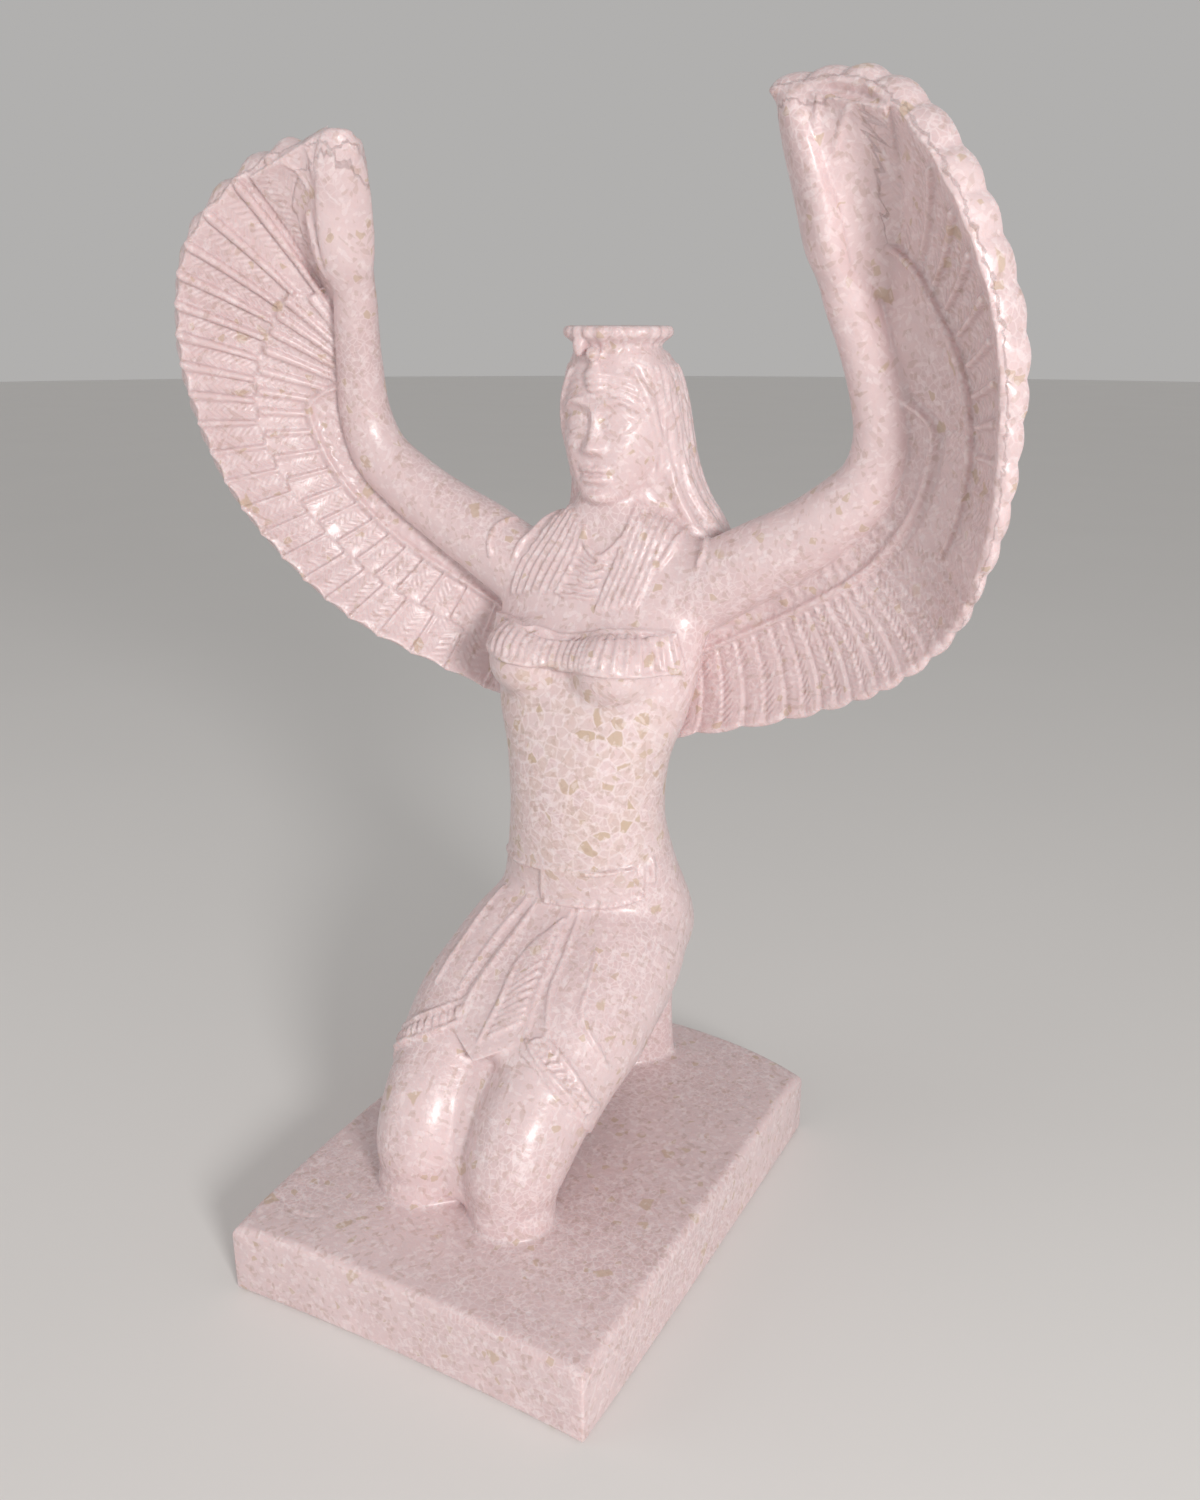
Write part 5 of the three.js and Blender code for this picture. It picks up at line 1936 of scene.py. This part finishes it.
class STATUE_OT_head(Operator):
    """Builds the carved face, the wig's strands, the crown and the cobra on the forehead"""

    bl_idname = "statue.head"
    bl_label = "Head carving"

    def execute(self, context):
        solids = [head(), crown(), ellipsoid(*KNOB), ellipsoid(*COBRA_HOOD), ellipsoid(*COBRA_HEAD)]
        made = new_mesh("head stock", *together(solids))
        surface = Surface(solid_arrays(stock("body stock")), [solid_arrays(made)])
        raised_lines("wig lines", wig_lines(surface))
        raised_lines("forehead lines", forehead_lines(Surface(solid_arrays(made))))
        return {"FINISHED"}


class STATUE_OT_wings(Operator):
    """Builds both wings with their rows of feathers"""

    bl_idname = "statue.wings"
    bl_label = "Wings"

    def execute(self, context):
        step = context.scene.statue_sizes.feather_step / MM
        shapes = {"left wing": WingShape(LEFT_WING), "right wing": WingShape(RIGHT_WING)}
        for name, shape in shapes.items():
            new_mesh(name + " stock", *wing_carving(shape, step))
            quills = worn_quill_lines if shape.form["split"] else quill_lines
            raised_lines(name + " lines", quills(shape))
        new_mesh("hand stock", *together([web(shape) for shape in shapes.values()]))
        lines = [thumb_line(shape) for shape in shapes.values()]
        for shape in shapes.values():
            lines += web_lines(shape)
        raised_lines("hand lines", lines)
        return {"FINISHED"}


class STATUE_OT_dress(Operator):
    """Builds the kilt, apron, sash, band and collar that lie on the body"""

    bl_idname = "statue.dress"
    bl_label = "Dress"

    def execute(self, context):
        body = solid_arrays(stock("body stock"))
        plain = Surface(body)
        cloth = [apron(), kilt(1), kilt(-1)]
        cloth.append(patch(plain, BAND_TOP, BAND_BOTTOM, 1.2, 10, 120, 400))
        cloth.append(patch(plain, BELT_TOP[2:], BELT_BOTTOM, 1.0))
        cloth += [patch(plain, first, last, 0.5) for first, last in LAPPETS]
        new_mesh("dress stock", *together(cloth))
        raised_lines("dress lines", dress_lines(Surface(body, cloth)))
        return {"FINISHED"}


class STATUE_OT_cast(Operator):
    """Joins all the stock into one casting, cuts the last grooves and finishes it"""

    bl_idname = "statue.cast"
    bl_label = "Casting"

    def execute(self, context):
        sizes = context.scene.statue_sizes
        names = ["body stock", "plinth stock", "head stock", "wig lines", "forehead lines"]
        names += ["dress stock", "dress lines", "hand stock", "hand lines"]
        for wing in ("left wing", "right wing"):
            names += [wing + " stock", wing + " lines"]
        made = joined([stock(name) for name in names], PIECE)
        fused(made, sizes.voxel)
        relaxed(made, 1)
        relaxed(made, 12, worn_places)
        moved_in(made, cuts)
        thinned(made, sizes.triangles)
        without_crumbs(made)
        moved_in(made, unevenness)
        feather_map(made)
        fitted(made)
        made.data.materials.clear()
        made.data.materials.append(resin())
        made.data.shade_smooth()
        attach(made, "root")
        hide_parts(NODE)
        return {"FINISHED"}


class STATUE_OT_studio(Operator):
    """Sets the floor, the lights and the camera"""

    bl_idname = "statue.studio"
    bl_label = "Studio"

    def execute(self, context):
        look = context.scene.statue_studio
        studio_floor(look)
        studio_lights(look)
        studio_camera(look)
        return {"FINISHED"}


def studio_floor(look):
    turn = turns(FLOOR_SIDES)
    points = np.column_stack([np.cos(turn), np.sin(turn), np.zeros(FLOOR_SIDES)]) * look.floor_radius
    mesh = bpy.data.meshes.new("floor")
    mesh.from_pydata(points.tolist(), [], [list(range(FLOOR_SIDES))])
    floor = added("floor", mesh)
    mesh.materials.append(floor_paint())


def area_light(name, place, size, power, colour):
    lamp = bpy.data.lights.new(name, "AREA")
    lamp.shape = "DISK"
    lamp.size = size
    lamp.energy = power
    lamp.color = colour
    made = added(name, lamp)
    made.location = place
    way = Vector(LIGHT_TARGET) - Vector(place)
    made.rotation_euler = way.to_track_quat("-Z", "Y").to_euler()


def studio_lights(look):
    world = bpy.data.worlds.new("studio")
    world.use_nodes = True
    sky = world.node_tree.nodes["Background"]
    sky.inputs["Color"].default_value = SKY_COLOUR
    sky.inputs["Strength"].default_value = look.sky
    bpy.context.scene.world = world
    bpy.context.scene.view_settings.view_transform = "Standard"
    for name, power in (("key", look.key), ("fill", look.fill)):
        place, size, colour = LIGHTS[name]
        area_light(name, place, size, power, colour)


def studio_camera(look):
    lens = bpy.data.cameras.new("camera")
    lens.sensor_fit = "VERTICAL"
    lens.sensor_height = SENSOR_HEIGHT
    lens.lens = look.focal_share * lens.sensor_height
    lens.clip_start = NEAREST_VIEW
    made = added("camera", lens)
    place = np.array(CAMERA_PLACE) * MM
    place[:2] += np.array(CAD_BOX[0][:2]) - np.array(CAD_LOW) * MM
    made.location = place
    made.rotation_euler = (math.pi / 2 - look.camera_pitch, 0, look.camera_azimuth)
    bpy.context.scene.camera = made


class STATUE_PT_panel(Panel):
    """Lists the steps that build the statue"""

    bl_label = "Shell resin statue"
    bl_idname = "STATUE_PT_panel"
    bl_space_type = "VIEW_3D"
    bl_region_type = "UI"
    bl_category = "Statue"

    def draw(self, context):
        for step in STEPS:
            self.layout.operator(step.bl_idname)


STEPS = (
    STATUE_OT_body,
    STATUE_OT_plinth,
    STATUE_OT_head,
    STATUE_OT_wings,
    STATUE_OT_dress,
    STATUE_OT_cast,
    STATUE_OT_studio,
)
GROUPS = {"statue_sizes": StatueSizes, "shell_resin": ShellResin, "statue_studio": StatueStudio}


def register():
    for kind in (*GROUPS.values(), *STEPS, STATUE_PT_panel):
        bpy.utils.register_class(kind)
    for name, kind in GROUPS.items():
        setattr(bpy.types.Scene, name, PointerProperty(type=kind))


def unregister():
    for name in GROUPS:
        delattr(bpy.types.Scene, name)
    for kind in (STATUE_PT_panel, *reversed(STEPS), *GROUPS.values()):
        bpy.utils.unregister_class(kind)


def main():
    register()
    bpy.ops.statue.body()
    bpy.ops.statue.plinth()
    bpy.ops.statue.head()
    bpy.ops.statue.wings()
    bpy.ops.statue.dress()
    bpy.ops.statue.cast()
    bpy.ops.statue.studio()


if __name__ == "__main__":
    main()
